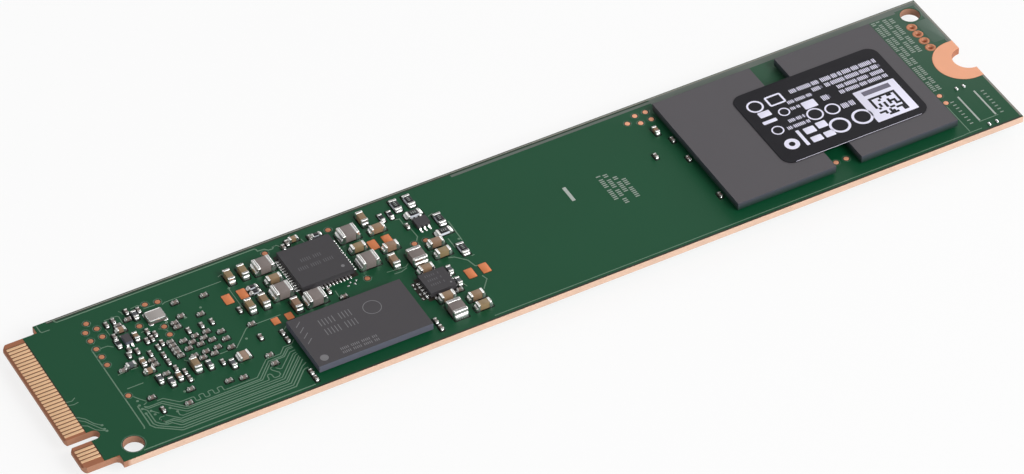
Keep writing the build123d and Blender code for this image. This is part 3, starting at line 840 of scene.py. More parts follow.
@dataclass(frozen=True)
class MaskFinish(Finish):
    """Solder mask with a painted sheen that grows towards the far corner of the mounting end.

    The reach that the painted sheen grows over is the place along the card plus the
    slant times the place across it.
    """

    # A painted sheen: the mask's colour goes paler towards the far corner
    sheen_colour: Colour = (0.075, 0.13, 0.095)
    sheen_from: float = 34.0
    sheen_to: float = 96.0
    slant: float = 2.0

    def own_colour(self, tree: Tree) -> object:
        """Mixes in the painted sheen's colour by how near the far corner a place lies.

        Args:
            tree: The material's tree.

        Returns:
            The colour's output.
        """
        place = tree.split(tree.object_place())
        reach = tree.math("ADD", place["X"], tree.math("MULTIPLY", place["Y"], self.slant))
        return tree.mix(tree.ramp(reach, self.sheen_from, self.sheen_to), self.colour, self.sheen_colour)


@dataclass(frozen=True)
class LaminateFinish(SidedFinish):
    """Bare glass laminate: brown on its faces, pale and layered on its cut sides.

    The bevelled contact tongue is browner than the long edges.
    """

    tongue_colour: Colour = (0.43, 0.2, 0.115)
    tongue_end: float = -50.7
    tongue_fade: float = 0.5
    layer: float = 0.09
    layer_wobble: float = 0.03
    layer_depth: float = 0.08
    layer_level: float = 0.94

    def sides(self, tree: Tree) -> object:
        """Layers the cut sides, and darkens them along the tongue.

        Args:
            tree: The material's tree.

        Returns:
            The colour's output.
        """
        place = tree.split(tree.object_place())
        past = tree.ramp(place["X"], self.tongue_end, self.tongue_end + self.tongue_fade)
        colour = tree.mix(past, self.tongue_colour, self.side_colour)
        wobble = tree.math("MULTIPLY", tree.noise(0.5), self.layer_wobble * MM)
        turns = tree.math("MULTIPLY", tree.math("ADD", place["Z"], wobble), math.tau / (self.layer * MM))
        waves = tree.math("MULTIPLY", tree.math("SINE", turns), self.layer_depth)
        return tree.scaled(colour, tree.math("ADD", waves, self.layer_level))


@dataclass(frozen=True)
class BlendFinish(Finish):
    """A fired body whose colour runs between two batches, by each part's tone."""

    other_colour: Colour = (0.25, 0.18, 0.09)

    def own_colour(self, tree: Tree) -> object:
        """Mixes the two batches' colours by the part's tone."""
        tone = tree.add("ShaderNodeAttribute", attribute_name="tone").outputs["Fac"]
        return tree.mix(tone, self.colour, self.other_colour)


class Finishes:
    """Every finish of the card, by what wears it."""

    laminate = LaminateFinish("bare laminate", (0.36, 0.13, 0.06), 0.65, patch=1.5, spread=0.25, relief=0.004,
                              side_colour=(0.75, 0.51, 0.38), flat_above=0.6)
    hole_wall_shade = Finish("laminate darkened by painted shade", (0.4, 0.21, 0.135), 0.7, patch=0.6, spread=0.25)
    mask = MaskFinish("green solder mask", (0.0015, 0.071, 0.026), 0.5, patch=9.0, spread=0.12, grain=0.12,
                      relief=0.001, gloss=0.34)
    edge_band = Finish("greyish band by the edge", (0.118, 0.145, 0.124), 0.42, patch=2.0)
    thin_mask = Finish("mask with no copper below", (0.075, 0.13, 0.095), 0.42, patch=2.0)
    etched = Finish("mask over copper lines", (0.135, 0.235, 0.16), 0.42, patch=3.0, spread=0.15)
    edge_highlight = Finish("painted highlight by the edge", (0.25, 0.24, 0.21), 0.5, patch=1.0)
    edge_shade = Finish("dark line by the edge", (0.018, 0.03, 0.018), 0.6, patch=1.0)
    mask_rim = Finish("rim of the mask's openings", (0.06, 0.15, 0.09), 0.25, patch=1.0)
    joint_shade = Finish("painted shadow round a joint", (0.006, 0.012, 0.007), 0.6, patch=0.5, gloss=0.2)
    # Painted shade, laid where shade falls: in openings, under leads, round holes, pads and joints
    recess_shade = Finish("painted shade in recesses", (0.018, 0.014, 0.008), 0.7, patch=0.5)
    contact_gap = Finish("laminate between contacts", (0.16, 0.06, 0.025), 0.7, patch=0.5)
    gold = Finish("contact gold", (0.9, 0.585, 0.345), 0.42, 0.3, patch=1.0, spread=0.1, smudge=0.15)
    copper = Finish("bare copper", (0.74, 0.235, 0.085), 0.5, 0.35, patch=1.0, spread=0.12, tone_spread=0.12)
    point_copper = Finish("test point copper", (0.62, 0.25, 0.13), 0.5, 0.35, patch=0.5, tone_spread=0.15)
    land_copper = Finish("pale land copper", (0.95, 0.44, 0.26), 0.5, 0.15, patch=1.5, spread=0.06)
    shaded_wall_copper = Finish("copper in the notch, darkened by painted shade", (0.5, 0.19, 0.1), 0.55, 0.2, patch=0.5)
    tin = Finish("bright tin", (0.88, 0.87, 0.85), 0.3, 1.0, patch=0.4, spread=0.1, smudge=0.1, grain=0.05,
                 relief=0.001)
    small_tin = Finish(
        "dull tin", (0.6, 0.59, 0.57), 0.36, 1.0, patch=0.3, spread=0.1, grain=0.05, relief=0.001
    )
    solder = Finish("reflowed solder", (0.9, 0.9, 0.89), 0.26, 1.0, patch=0.3, spread=0.1, smudge=0.1,
                    grain=0.06, relief=0.0015)
    # The flash mould's side colour is a painted shade
    flash_mould = MouldFinish("flash mould", (0.088, 0.081, 0.09), 0.6, patch=4.0, spread=0.06, grain=0.05,
                              side_colour=(0.07, 0.07, 0.095))
    # The memory mould's sides take the default painted shade
    memory_mould = SidedFinish("memory mould", (0.058, 0.053, 0.059), 0.6, patch=3.0, spread=0.06, grain=0.05)
    chip_mould = Finish("chip mould", (0.047, 0.043, 0.048), 0.58, patch=2.0, spread=0.08, grain=0.04)
    faint_mark = Finish("fainter chip marks", (0.115, 0.11, 0.12), 0.7, patch=0.5, spread=0.2)
    mark = Finish("faint chip marks", (0.19, 0.185, 0.195), 0.7, patch=0.5, spread=0.2)
    ferrite = Finish(
        "fired ferrite", (0.215, 0.18, 0.168), 0.6, patch=0.5, spread=0.22, grain=0.06, relief=0.004
    )
    filter_body = Finish("filter body", (0.33, 0.225, 0.165), 0.55, patch=0.3, spread=0.2)
    dielectric = BlendFinish("fired dielectric", (0.34, 0.205, 0.135), 0.42, patch=0.4, spread=0.15,
                             tone_spread=0.3, grain=0.04)
    small_dielectric = BlendFinish("small dielectric", (0.24, 0.18, 0.16), 0.42, patch=0.3, spread=0.15,
                                   tone_spread=0.4, grain=0.04, other_colour=(0.2, 0.18, 0.165))
    grey_body = Finish("grey chip body", (0.1, 0.106, 0.116), 0.42, patch=0.4, spread=0.2, grain=0.04)
    alumina = Finish("white alumina", (0.75, 0.78, 0.85), 0.6, patch=0.5, spread=0.1)
    resistor_coat = Finish("resistor coat", (0.015, 0.015, 0.018), 0.35, patch=0.5)
    lid = Finish("crystal lid", (0.5, 0.46, 0.44), 0.42, 0.5, patch=0.5, spread=0.08)
    crystal_base = Finish("crystal base", (0.12, 0.1, 0.09), 0.6)
    film = Finish("label film", (0.003, 0.002, 0.006), 0.32, patch=3.0, gloss=0.34)
    print_ink = Finish("label print", (0.86, 0.84, 1.0), 0.5, patch=1.0, spread=0.06)
    faint_ink = Finish("fine label print", (0.16, 0.15, 0.21), 0.5, patch=0.5, spread=0.2)
    silk = Finish("board print", (0.42, 0.47, 0.43), 0.6, patch=0.5, spread=0.2)
    faint_silk = Finish("fine board print", (0.3, 0.36, 0.31), 0.6, patch=0.5, spread=0.3)
    holdup = Finish("hold-up mould", (0.05, 0.05, 0.055), 0.5, patch=1.0)


# The studio


@dataclass(frozen=True)
class Lamp:
    """A square soft lamp that points at the card, in millimetres and watts."""

    name: str
    place: Point
    size: float
    power: float

    def hang(self) -> None:
        """Hangs the lamp."""
        data = bpy.data.lights.new(self.name, "AREA")
        data.size, data.energy = self.size * MM, self.power
        lamp = bpy.data.objects.new(self.name, data)
        lamp.location = Vector(self.place) * MM
        lamp.rotation_mode = "QUATERNION"
        lamp.rotation_quaternion = (-Vector(self.place)).to_track_quat("-Z", "Y")
        bpy.context.scene.collection.objects.link(lamp)


@dataclass(frozen=True)
class Studio:
    """A pale floor, soft lamps, a pale room, and the camera where the photograph was taken.

    The room's light fades from its low value to its high one as a direction's height
    goes through the fade. It also dims to its side value towards the contact edge.
    """

    azimuth: float = 28.228
    elevation: float = 43.086
    roll: float = -0.575
    aim: Point = (-1.817, -1.009, 1.93)
    distance: float = 487.87
    lens: float = 164.83
    sensor: float = 36.0
    clip: Flat = (10.0, 10000.0)
    floor_reach: float = 3000.0
    floor_drop: float = 0.02
    floor_colour: Colour = (0.97, 0.97, 0.97)
    floor_roughness: float = 0.9
    floor_glow: float = 0.8
    room_low: float = 1.0
    room_high: float = 0.12
    room_fade: Flat = (0.3, 0.85)
    room_side: float = 0.35
    room_dim: Flat = (-0.85, -0.35)
    lamps: tuple[Lamp, ...] = (
        Lamp("key_lamp", (420.0, -820.0, 760.0), 640.0, 10.3),
        Lamp("side_lamp", (-820.0, -380.0, 800.0), 420.0, 0.9),
        Lamp("back_lamp", (800.0, 620.0, 480.0), 360.0, 1.6),
    )

    def camera(self) -> None:
        """Places the camera by its angles round the point that it looks at."""
        turn, tilt = math.radians(self.azimuth), math.radians(self.elevation)
        ahead = Vector((
            math.sin(turn) * math.cos(tilt), math.cos(turn) * math.cos(tilt), -math.sin(tilt),
        ))
        level = Vector((math.cos(turn), -math.sin(turn), 0.0))
        right = (Matrix.Rotation(math.radians(self.roll), 3, -ahead) @ level).normalized()
        up = right.cross(ahead)
        data = bpy.data.cameras.new("photo_camera")
        data.sensor_width, data.lens = self.sensor, self.lens
        data.clip_start, data.clip_end = self.clip[0] * MM, self.clip[1] * MM
        camera = bpy.data.objects.new("photo_camera", data)
        axes = Matrix((right, up, -ahead)).transposed().to_4x4()
        place = (Vector(self.aim) - ahead * self.distance) * MM
        camera.matrix_world = Matrix.Translation(place) @ axes
        bpy.context.scene.collection.objects.link(camera)
        bpy.context.scene.camera = camera

    def floor(self) -> None:
        """Lays the pale floor that keeps the card's shadow."""
        reach, level = self.floor_reach * MM, -self.floor_drop * MM
        corners = [(u * reach, v * reach, level) for u, v in ((-1, -1), (1, -1), (1, 1), (-1, 1))]
        mesh = bpy.data.meshes.new("studio_floor")
        mesh.from_pydata(corners, [], [(0, 1, 2, 3)])
        made = bpy.data.materials.new("studio floor")
        made.use_nodes = True
        tree = Tree(made.node_tree)
        shader = made.node_tree.nodes["Principled BSDF"]
        shader.inputs["Base Color"].default_value = (*self.floor_colour, 1.0)
        shader.inputs["Roughness"].default_value = self.floor_roughness
        glow = tree.add("ShaderNodeEmission", {"Color": (1.0, 1.0, 1.0), "Strength": 1.0})
        path = tree.add("ShaderNodeLightPath").outputs
        seen = tree.math("ADD", path["Is Camera Ray"], path["Is Glossy Ray"])
        seen = tree.math("ADD", seen, path["Is Transmission Ray"], clamp=True)
        mix = tree.add("ShaderNodeMixShader", {
            0: tree.math("MULTIPLY", seen, self.floor_glow), 1: shader.outputs[0], 2: glow.outputs[0],
        })
        tree.feed(made.node_tree.nodes["Material Output"].inputs["Surface"], mix.outputs[0])
        mesh.materials.append(made)
        floor = bpy.data.objects.new("studio_floor", mesh)
        bpy.context.scene.collection.objects.link(floor)

    def world(self) -> None:
        """Fills the room with a pale light that fades towards the ceiling and the contact edge."""
        world = bpy.data.worlds.new("studio")
        bpy.context.scene.world = world
        world.use_nodes = True
        tree = Tree(world.node_tree)
        background = world.node_tree.nodes["Background"].inputs
        tree.feed(background["Color"], (1.0, 1.0, 1.0))
        way = tree.split(tree.add("ShaderNodeTexCoord").outputs["Generated"])
        fade, dim = (
            tree.add("ShaderNodeMapRange", {
                "Value": way[axis], "From Min": start, "From Max": end, "To Min": low, "To Max": high,
            })
            for axis, (start, end), low, high in (
                ("Z", self.room_fade, self.room_low, self.room_high),
                ("X", self.room_dim, self.room_side, 1.0),
            )
        )
        tree.feed(background["Strength"], tree.math("MULTIPLY", fade.outputs[0], dim.outputs[0]))

    def build(self) -> None:
        """Sets up the whole studio."""
        bpy.context.scene.view_settings.view_transform = "Standard"
        self.camera()
        self.floor()
        self.world()
        for lamp in self.lamps:
            lamp.hang()


# Chips with a terminal at each end


@dataclass(frozen=True)
class Chip:
    """A chip part read from the frame: where it stands and its real sizes."""

    stand: Stand
    length: float
    width: float
    height: float
    cap: float


@dataclass(frozen=True)
class Coat:
    """A resistor's dark coat, and the places of the plain bars that are printed on it."""

    inset: float
    bottom: float
    top: float
    corner: float
    bars: tuple[float, ...] = ()


@dataclass(frozen=True)
class ChipPiece:
    """Like chips that make up one piece of the scene.

    Its nodes are the CAD nodes that it stands for, with the bodies first and the end
    caps last. Its finishes are those of the bodies, the caps, the solder and the rest.
    The reach is how far the solder runs out beyond each cap.
    """

    name: str
    slot: str
    nodes: tuple[str, ...]
    finishes: tuple[Finish, ...]
    reach: float
    side: Side = Side.UPPER
    grey: tuple[Flat, ...] = ()
    coat: Coat | None = None


# Middles of the medium capacitors whose body is grey, from the contact edge
GREY_CHIPS = (
    (45.05, -2.45), (45.05, -4.4), (10.3, 0.85), (13.75, 7.25), (12.0, -2.4), (12.9, -3.3), (17.3, -2.95),
    (19.45, -3.95),
)
SOLDERED = (Finishes.tin, Finishes.solder, Finishes.joint_shade)
COATED = (Finishes.alumina, Finishes.tin, Finishes.solder, Finishes.resistor_coat)
CHIP_PIECES = (
    ChipPiece(
        "ceramic_capacitors_large", "dielectric", ("capacitor_bodies_large", "capacitor_ends_large"),
        (Finishes.dielectric, *SOLDERED), 0.22,
    ),
    ChipPiece(
        "ceramic_capacitors_medium", "dielectric", ("capacitor_bodies_medium", "capacitor_ends_medium"),
        (Finishes.dielectric, *SOLDERED, Finishes.grey_body), 0.16, grey=GREY_CHIPS,
    ),
    ChipPiece(
        "ceramic_capacitors_small", "dielectric", ("capacitors_small",),
        (Finishes.small_dielectric, Finishes.small_tin, Finishes.solder, Finishes.joint_shade), 0.11,
    ),
    ChipPiece(
        "ceramic_capacitors_lower", "dielectric", ("lower_capacitor_bodies", "lower_capacitor_ends"),
        (Finishes.dielectric, *SOLDERED), 0.2, side=Side.LOWER,
    ),
    ChipPiece(
        "chip_inductors", "ferrite", ("inductor_cores", "inductor_ends"), (Finishes.ferrite, *SOLDERED), 0.25,
    ),
    ChipPiece(
        "line_filter", "ferrite", ("filter_body", "filter_ends"), (Finishes.filter_body, *SOLDERED), 0.2,
    ),
    ChipPiece(
        "chip_resistors", "alumina", ("resistor_cores", "resistor_coats", "resistor_ends"),
        (*COATED, Finishes.silk, Finishes.joint_shade), 0.25,
        coat=Coat(inset=0.06, bottom=0.08, top=0.0, corner=0.05, bars=(-0.22, 0.0, 0.22)),
    ),
    ChipPiece(
        "chip_resistors_small", "alumina", ("small_resistor_bodies", "small_resistor_ends"),
        (*COATED, Finishes.joint_shade), 0.2, coat=Coat(inset=0.04, bottom=0.07, top=0.01, corner=0.03),
    ),
)
# How solder climbs an end cap: share of its rise, and of its reach
FILLET = ((0.0, 1.0), (0.3, 0.97), (0.55, 0.85), (0.75, 0.66), (0.9, 0.4), (1.0, 0.0))


@dataclass
class ChipParts:
    """Ceramic capacitors, resistors, inductors and the filter, with their solder joints."""

    card: Card
    cap_edge: float = 0.12
    edge_of_height: float = 0.24
    edge_of_cap: float = 0.48
    dish: float = 0.03
    dish_from: float = 0.4
    fillet_rise: float = 0.6
    fillet_inset: float = 0.03
    fillet_spread: float = 0.12
    fillet_corner: float = 0.4
    seam: float = 0.035
    core_rise: float = 0.03
    core_corner: float = 0.02
    core_edge: float = 0.03
    under_caps: float = 0.8
    coat_drop: float = 0.04
    coat_edge: float = 0.02
    bar_half: float = 0.13
    bar_width: float = 0.07
    shade_margin: float = 0.12
    shade_corner: float = 0.1
    small_growth: Point = (0.06, 0.08, 0.04)
    small_cap_share: float = 0.28
    bar_height: float = 0.004
    draws: random.Random = field(default_factory=lambda: random.Random(SEED))

    def whole_chips(self, piece: ChipPiece) -> list[Chip]:
        """Reads the chips that are one solid each, which the solder makes a little larger.

        Args:
            piece: The chips' piece.

        Returns:
            The chips.
        """
        chips = []
        longer, wider, higher = self.small_growth
        for block in solids_of(piece.nodes[0]):
            length, width = sorted((2 * block.half_x, 2 * block.half_y), reverse=True)
            turned = block.half_y > block.half_x
            stand = Stand(block.x, block.y, self.card.seat_of(piece.side), turned, piece.side)
            cap = self.small_cap_share * length
            chips.append(Chip(stand, length + longer, width + wider, block.height + higher, cap))
        return chips

    def capped_chips(self, piece: ChipPiece) -> list[Chip]:
        """Matches each chip's body with its two end caps.

        Args:
            piece: The chips' piece.

        Returns:
            The chips.
        """
        caps = solids_of(piece.nodes[-1])
        chips = []
        for body in solids_of(piece.nodes[0]):
            first, second = sorted(caps, key=body.gap_to)[:2]
            turned = abs(first.y - second.y) > abs(first.x - second.x)
            reach = first.half_y if turned else first.half_x
            chips.append(Chip(
                stand=Stand(body.x, body.y, self.card.seat_of(piece.side), turned, piece.side),
                length=first.gap_to(second) + 2 * reach,
                width=2 * (first.half_x if turned else first.half_y),
                height=first.height,
                cap=2 * reach,
            ))
        return chips

    def terminal(self, draft: Draft, chip: Chip, piece: ChipPiece, sign: int) -> None:
        """Draws one end cap and the solder that climbs it.

        Args:
            draft: The drawing.
            chip: The chip that it ends.
            piece: The chip's piece.
            sign: Which end, 1 or -1.
        """
        cap, solder = piece.finishes[1:3]
        half_cap, half_width = chip.cap / 2, chip.width / 2
        middle = sign * (chip.length / 2 - half_cap)
        edge = min(self.cap_edge, self.edge_of_height * chip.height, self.edge_of_cap * half_cap)
        draft.soft_block(
            chip.stand, half_cap, half_width, 0.0, chip.height, edge, edge, cap, self.draws.random(),
            shift=(middle, 0.0), dish=self.dish if chip.height > self.dish_from else 0.0,
        )
        rings = []
        for rise, share in FILLET:
            out = piece.reach * share
            half_u, half_v = half_cap + out / 2, half_width - self.fillet_inset + self.fillet_spread * out
            corner, shift = edge + self.fillet_corner * out, (middle + sign * out / 2, 0.0)
            outline = rounded_outline(half_u, half_v, corner, 3, shift)
            rings.append(lifted(outline, rise * self.fillet_rise * chip.height))
        draft.loft(chip.stand, rings, solder, self.draws.random())

    def core(self, draft: Draft, chip: Chip, piece: ChipPiece) -> None:
        """Draws a chip's body between its caps, and a dark pad of painted shadow round the chip.

        Args:
            draft: The drawing.
            chip: The chip.
            piece: The chip's piece.
        """
        # A dark pad of painted shadow round the whole chip, a little wider than its solder
        half_u, half_v = chip.length / 2 + piece.reach + self.shade_margin, chip.width / 2 + self.shade_margin
        draft.soft_block(
            chip.stand, half_u, half_v, 0.0, FILM_TOP, self.shade_corner, FILM_TOP / 2,
            Finishes.joint_shade, steps=1,
        )
        place = (chip.stand.x - self.card.tip, chip.stand.y)
        grey = any(math.dist(place, middle) < chip.width / 2 for middle in piece.grey)
        finish = Finishes.grey_body if grey else piece.finishes[0]
        half_u, half_v = chip.length / 2 - chip.cap * self.under_caps, chip.width / 2 - self.seam
        top = chip.height - self.seam - (self.coat_drop if piece.coat else 0.0)
        draft.soft_block(
            chip.stand, half_u, half_v, self.core_rise, top, self.core_corner, self.core_edge, finish,
            self.draws.random(), steps=2,
        )

    def coat(self, draft: Draft, chip: Chip, coat: Coat) -> None:
        """Draws a resistor's dark coat.

        Args:
            draft: The drawing.
            chip: The resistor.
            coat: Its coat.
        """
        draft.soft_block(
            chip.stand, chip.length / 2 - chip.cap, chip.width / 2 - coat.inset, chip.height - coat.bottom,
            chip.height - coat.top, coat.corner, self.coat_edge, Finishes.resistor_coat, steps=2,
        )

    def build(self) -> None:
        """Builds every kind of chip part."""
        for piece in CHIP_PIECES:
            draft = Draft(piece.name, *piece.finishes)
            chips = self.capped_chips(piece) if len(piece.nodes) > 1 else self.whole_chips(piece)
            for chip in chips:
                self.core(draft, chip, piece)
                if piece.coat:
                    self.coat(draft, chip, piece.coat)
                for sign in (-1, 1):
                    self.terminal(draft, chip, piece, sign)
                for place in piece.coat.bars if piece.coat else ():
                    bar = [(place, -self.bar_half), (place, self.bar_half)]
                    top = chip.height + self.bar_height
                    draft.stroke(chip.stand, bar, self.bar_width, chip.height, top, Finishes.silk)
            draft.build(piece.slot, *piece.nodes)


# Bare copper and drawn lines on the board


# Etched lines that show through the coating: width, then points from the contact edge
BUS = (
    (0.17, ((8.45, -4.6), (8.42, -7.65), (8.75, -8.2), (10.9, -9.75), (11.1, -9.82), (23.65, -9.82),
            (25.35, -8.08), (25.6, -7.95), (25.95, -7.95))),
    (0.16, ((8.78, -6.0), (8.78, -7.6), (9.1, -8.1), (11.0, -9.45), (11.2, -9.5), (23.5, -9.5),
            (25.5, -7.5), (26.05, -7.2))),
    (0.16, ((8.75, -5.15), (9.08, -5.6), (9.1, -7.5), (9.5, -8.0), (10.0, -8.35), (10.5, -8.38),
            (11.15, -9.08), (11.4, -9.17), (23.4, -9.17), (25.95, -6.62))),
    (0.15, ((9.75, -7.55), (10.0, -8.12), (10.75, -8.14), (11.45, -8.83), (23.25, -8.83), (25.9, -6.22))),
    (0.15, ((9.68, -7.45), (9.98, -7.93), (10.88, -7.94), (11.58, -8.62), (23.15, -8.62), (25.85, -5.98))),
    (0.15, ((10.42, -7.1), (11.58, -8.27), (23.1, -8.27), (25.6, -5.74), (25.85, -5.65))),
    (0.14, ((11.65, -7.2), (11.66, -7.75), (11.9, -7.97), (23.0, -7.97), (25.45, -5.48), (25.85, -5.38))),
    (0.14, ((11.2, -6.4), (12.45, -7.6), (12.65, -7.67), (21.6, -7.67), (21.72, -7.55), (21.76, -7.1),
            (21.88, -6.93), (22.1, -6.93), (22.22, -7.1), (22.26, -7.55), (22.38, -7.67), (22.8, -7.67),
            (23.05, -7.45), (23.05, -7.15), (22.55, -6.55), (22.5, -6.3), (22.62, -6.15), (22.8, -6.12))),
    (0.15, ((9.0, -5.1), (9.32, -5.42), (10.75, -5.42), (12.5, -7.2), (12.75, -7.33), (21.1, -7.33),
            (22.95, -5.42), (24.5, -5.4), (25.3, -4.64), (25.9, -4.6))),
    (0.15, ((9.0, -4.95), (9.36, -5.2), (10.95, -5.2), (12.75, -7.02), (12.95, -7.12), (20.95, -7.12),
            (22.8, -5.22), (24.42, -5.2), (25.2, -4.44), (25.9, -4.4))),
    (0.13, ((23.0, -6.4), (23.35, -6.78), (23.55, -6.78), (25.3, -5.1), (25.9, -5.05))),
)
# The line that winds: its points before and after the winding
WINDING_HEAD = ((10.5, -4.85), (11.15, -4.83), (12.4, -6.05), (12.6, -6.11), (13.6, -6.11))
WINDING_TAIL = ((17.3, -6.77), (20.78, -6.77), (22.7, -4.87), (24.33, -4.87), (25.05, -4.12), (25.95, -4.12),
                (26.45, -3.65))
# Other etched lines, given in the same way
LINES = (
    (0.16, ((7.7, -7.8), (7.8, -7.6), (7.8, 4.9), (7.9, 5.1))),
    (0.17, ((6.4, -10.48), (25.5, -10.48))),
    (0.12, ((46.0, -10.5), (103.0, -10.5))),
    (0.17, ((6.2, 10.9), (6.22, 10.55), (6.4, 10.36), (28.9, 10.36), (29.02, 10.2), (29.05, 9.9),
            (29.8, 9.82), (30.1, 9.5), (30.55, 9.45), (30.95, 9.8))),
    (0.15, ((4.32, 10.9), (4.34, 9.9), (4.45, 9.72), (5.3, 9.7))),
    (0.13, ((8.65, -3.15), (9.05, -3.75), (9.55, -4.4))),
    (0.14, ((9.1, -4.72), (9.5, -4.55))),
    (0.14, ((9.35, -5.85), (9.95, -6.55))),
    (0.13, ((9.6, -7.4), (9.62, -7.25), (9.8, -7.12), (10.2, -7.15))),
    (0.13, ((8.45, 4.55), (8.75, 4.7), (9.45, 4.68), (9.7, 4.5), (9.95, 4.25))),
    (0.12, ((8.6, 0.36), (9.4, 0.42))),
    (0.12, ((10.1, 0.42), (10.85, 0.4))),
    (0.14, ((8.6, -1.87), (10.4, -1.87))),
    (0.12, ((18.9, -1.88), (19.85, -1.88))),
    (0.13, ((20.8, -1.95), (21.15, -1.62), (22.9, 0.12), (23.25, 0.28))),
    (0.12, ((24.05, 0.26), (26.9, 0.26))),
    (0.14, ((26.25, -1.85), (26.7, -1.5), (27.4, -1.1))),
    (0.13, ((16.95, 7.5), (17.3, 7.66), (23.75, 7.66))),
    (0.11, ((15.0, 7.85), (16.3, 7.8))),
    (0.1, ((23.95, 3.1), (23.95, 6.4))),
    (0.11, ((10.7, 8.2), (11.45, 8.2), (11.6, 8.35), (11.8, 8.22), (12.12, 8.2), (12.28, 8.02),
            (12.25, 7.0))),
    (0.1, ((10.32, 7.0), (10.34, 5.9))),
    (0.1, ((12.55, 8.75), (12.75, 8.5), (12.76, 8.1))),
    (0.14, ((43.7, 7.2), (44.2, 7.1), (44.2, 5.5), (44.55, 5.2), (44.6, 3.8), (44.1, 3.1))),
    (0.13, ((47.0, 6.0), (47.65, 6.2))),
    (0.15, ((48.5, 4.3), (48.42, 1.1))),
    (0.14, ((47.24, 2.0), (47.26, 0.4))),
    (0.16, ((45.9, -0.6), (46.5, -0.8), (47.5, -1.9), (47.75, -3.0), (48.0, -3.1))),
    (0.14, ((48.15, -1.5), (48.5, -1.46))),
    (0.14, ((47.7, -4.65), (47.9, -5.3), (46.9, -6.5))),
    (0.13, ((39.9, -0.05), (40.7, -0.1), (41.45, 0.15))),
    (0.12, ((39.3, 0.55), (41.4, 0.33), (41.85, 0.65))),
    (0.12, ((45.4, -4.65), (45.6, -5.3))),
    (0.14, ((30.6, 9.7), (31.15, 9.75), (31.4, 9.4), (31.5, 8.75))),
    (0.12, ((23.75, 8.4), (24.35, 8.65))),
    (0.12, ((33.8, 9.4), (33.95, 8.65))),
    (0.12, ((33.4, 0.7), (33.35, -0.35))),
    (0.12, ((13.85, 8.5), (14.65, 8.6), (15.2, 8.2))),
    (0.12, ((13.3, 4.8), (13.9, 4.9), (14.25, 4.8))),
    (0.11, ((15.1, 4.45), (15.85, 3.75))),
    (0.12, ((15.4, -0.9), (15.75, -1.3))),
    (0.13, ((1.9, -2.95), (2.6, -3.2), (3.1, -3.7), (3.6, -4.7), (4.2, -5.3))),
    (0.13, ((2.35, -3.5), (2.95, -4.05), (3.65, -5.2), (4.1, -5.9))),
    (0.13, ((2.4, -4.4), (2.9, -4.7), (3.4, -5.6), (4.3, -6.25))),
    (0.12, ((2.4, -0.65), (3.0, -0.75), (3.45, -0.45))),
    (0.12, ((2.4, -1.15), (2.95, -1.3), (3.5, -1.2))),
    (0.13, ((103.68, -5.7), (103.68, -10.3))),
    (0.12, ((102.9, -10.45), (105.1, -10.45))),
    (0.12, ((105.4, -9.45), (107.8, -9.45))),
)
# Lines along the far edge and the card's end: width, start, end, and whether it is dark. The pale lines are
# painted highlights on the edges.
EDGE_LINES = (
    (0.13, (5.4, 10.8), (62.0, 10.8), False), (0.18, (62.0, 10.8), (109.8, 10.8), False),
    (0.08, (5.4, 10.93), (62.0, 10.93), True), (0.14, (5.4, 10.62), (76.0, 10.62), True),
    (0.2, (6.4, -10.89), (109.7, -10.89), True),
    (0.18, (109.84, 3.0), (109.84, 10.7), False), (0.18, (109.84, -10.75), (109.84, -3.0), False),
)
# Vias under the coating
VIAS = (
    (8.75, -3.95), (8.65, -4.6), (8.75, -5.95), (8.7, -5.2), (9.35, -5.85), (9.5, -6.5), (11.2, -6.4),
    (11.65, -7.2), (4.2, -5.3), (4.2, -5.9), (4.3, -6.25), (13.5, -5.0), (12.0, -2.95), (15.0, -3.9),
    (16.2, 4.9), (18.2, 4.6), (20.2, 5.2), (22.3, -1.2), (24.0, 6.35), (45.0, 9.3), (48.2, 1.4),
)
# Test points past this place along the card are paler
PALE_POINTS_FROM = 60.0
# Greyish bands of the coating along the far edge and the card's end: two corners of each
PALE_BANDS = (
    ((52.0, 10.15), (76.2, 10.5)), ((76.2, 9.95), (107.0, 10.72)), ((107.0, 10.25), (109.75, 10.75)),
    ((109.45, 3.1), (109.75, 10.2)),
)
# Middles of the two tooling holes
TOOLING_HOLES = ((5.85, -9.2), (108.27, 9.0))
# Middles of the bright joints that stand alone
BRIGHT_VIAS = (
    (34.9, 0.65), (35.3, 1.05), (35.65, 0.65), (36.0, 1.05), (40.76, -2.48), (41.3, -2.7), (40.72, -3.1),
    (41.17, -3.17), (41.22, -3.72), (40.78, -4.06), (41.27, -4.26), (40.75, -4.76), (41.25, -4.8),
)
# Where painted shade darkens the coating round a row of joints: middle and half sizes
JOINT_SHADE = (41.0, -3.62, 0.42, 1.42)
# Plain white bars of the board's print: two corners of each
PRINTED_BARS = (
    ((105.46, -9.3), (105.66, -4.95)), ((107.5, -9.3), (107.7, -4.95)), ((61.35, 0.7), (61.75, 3.0)),
)
# Rows of print along the card's width: x, from y, to y, height
PRINTED_ROWS = (
    (103.95, -2.9, 9.8, 0.45), (104.55, -2.9, 9.8, 0.45), (105.35, 3.6, 9.9, 0.5), (106.05, 3.4, 9.7, 0.5),
    (65.55, -1.2, 2.9, 0.5), (66.3, -2.2, 2.6, 0.5), (67.05, -0.6, 2.0, 0.5), (67.75, -1.9, 1.2, 0.5),
)
# Rows of short ticks beside the two printed bars: places along the card, first y, pitch and number
SIDE_TICKS = ((104.55, 108.4), -5.4, 0.55, 8)
# Where thin coating shows the laminate: middle and half sizes
THIN_PATCH = (108.85, 5.75, 0.8, 1.95)
# Solder joints that stand alone
LONE_JOINTS = ((106.1, -3.85), (107.0, -3.85), (106.1, -10.35), (107.05, -10.35))
# Fewest and most ticks in one run of a row
TICK_RUN = (3, 8)


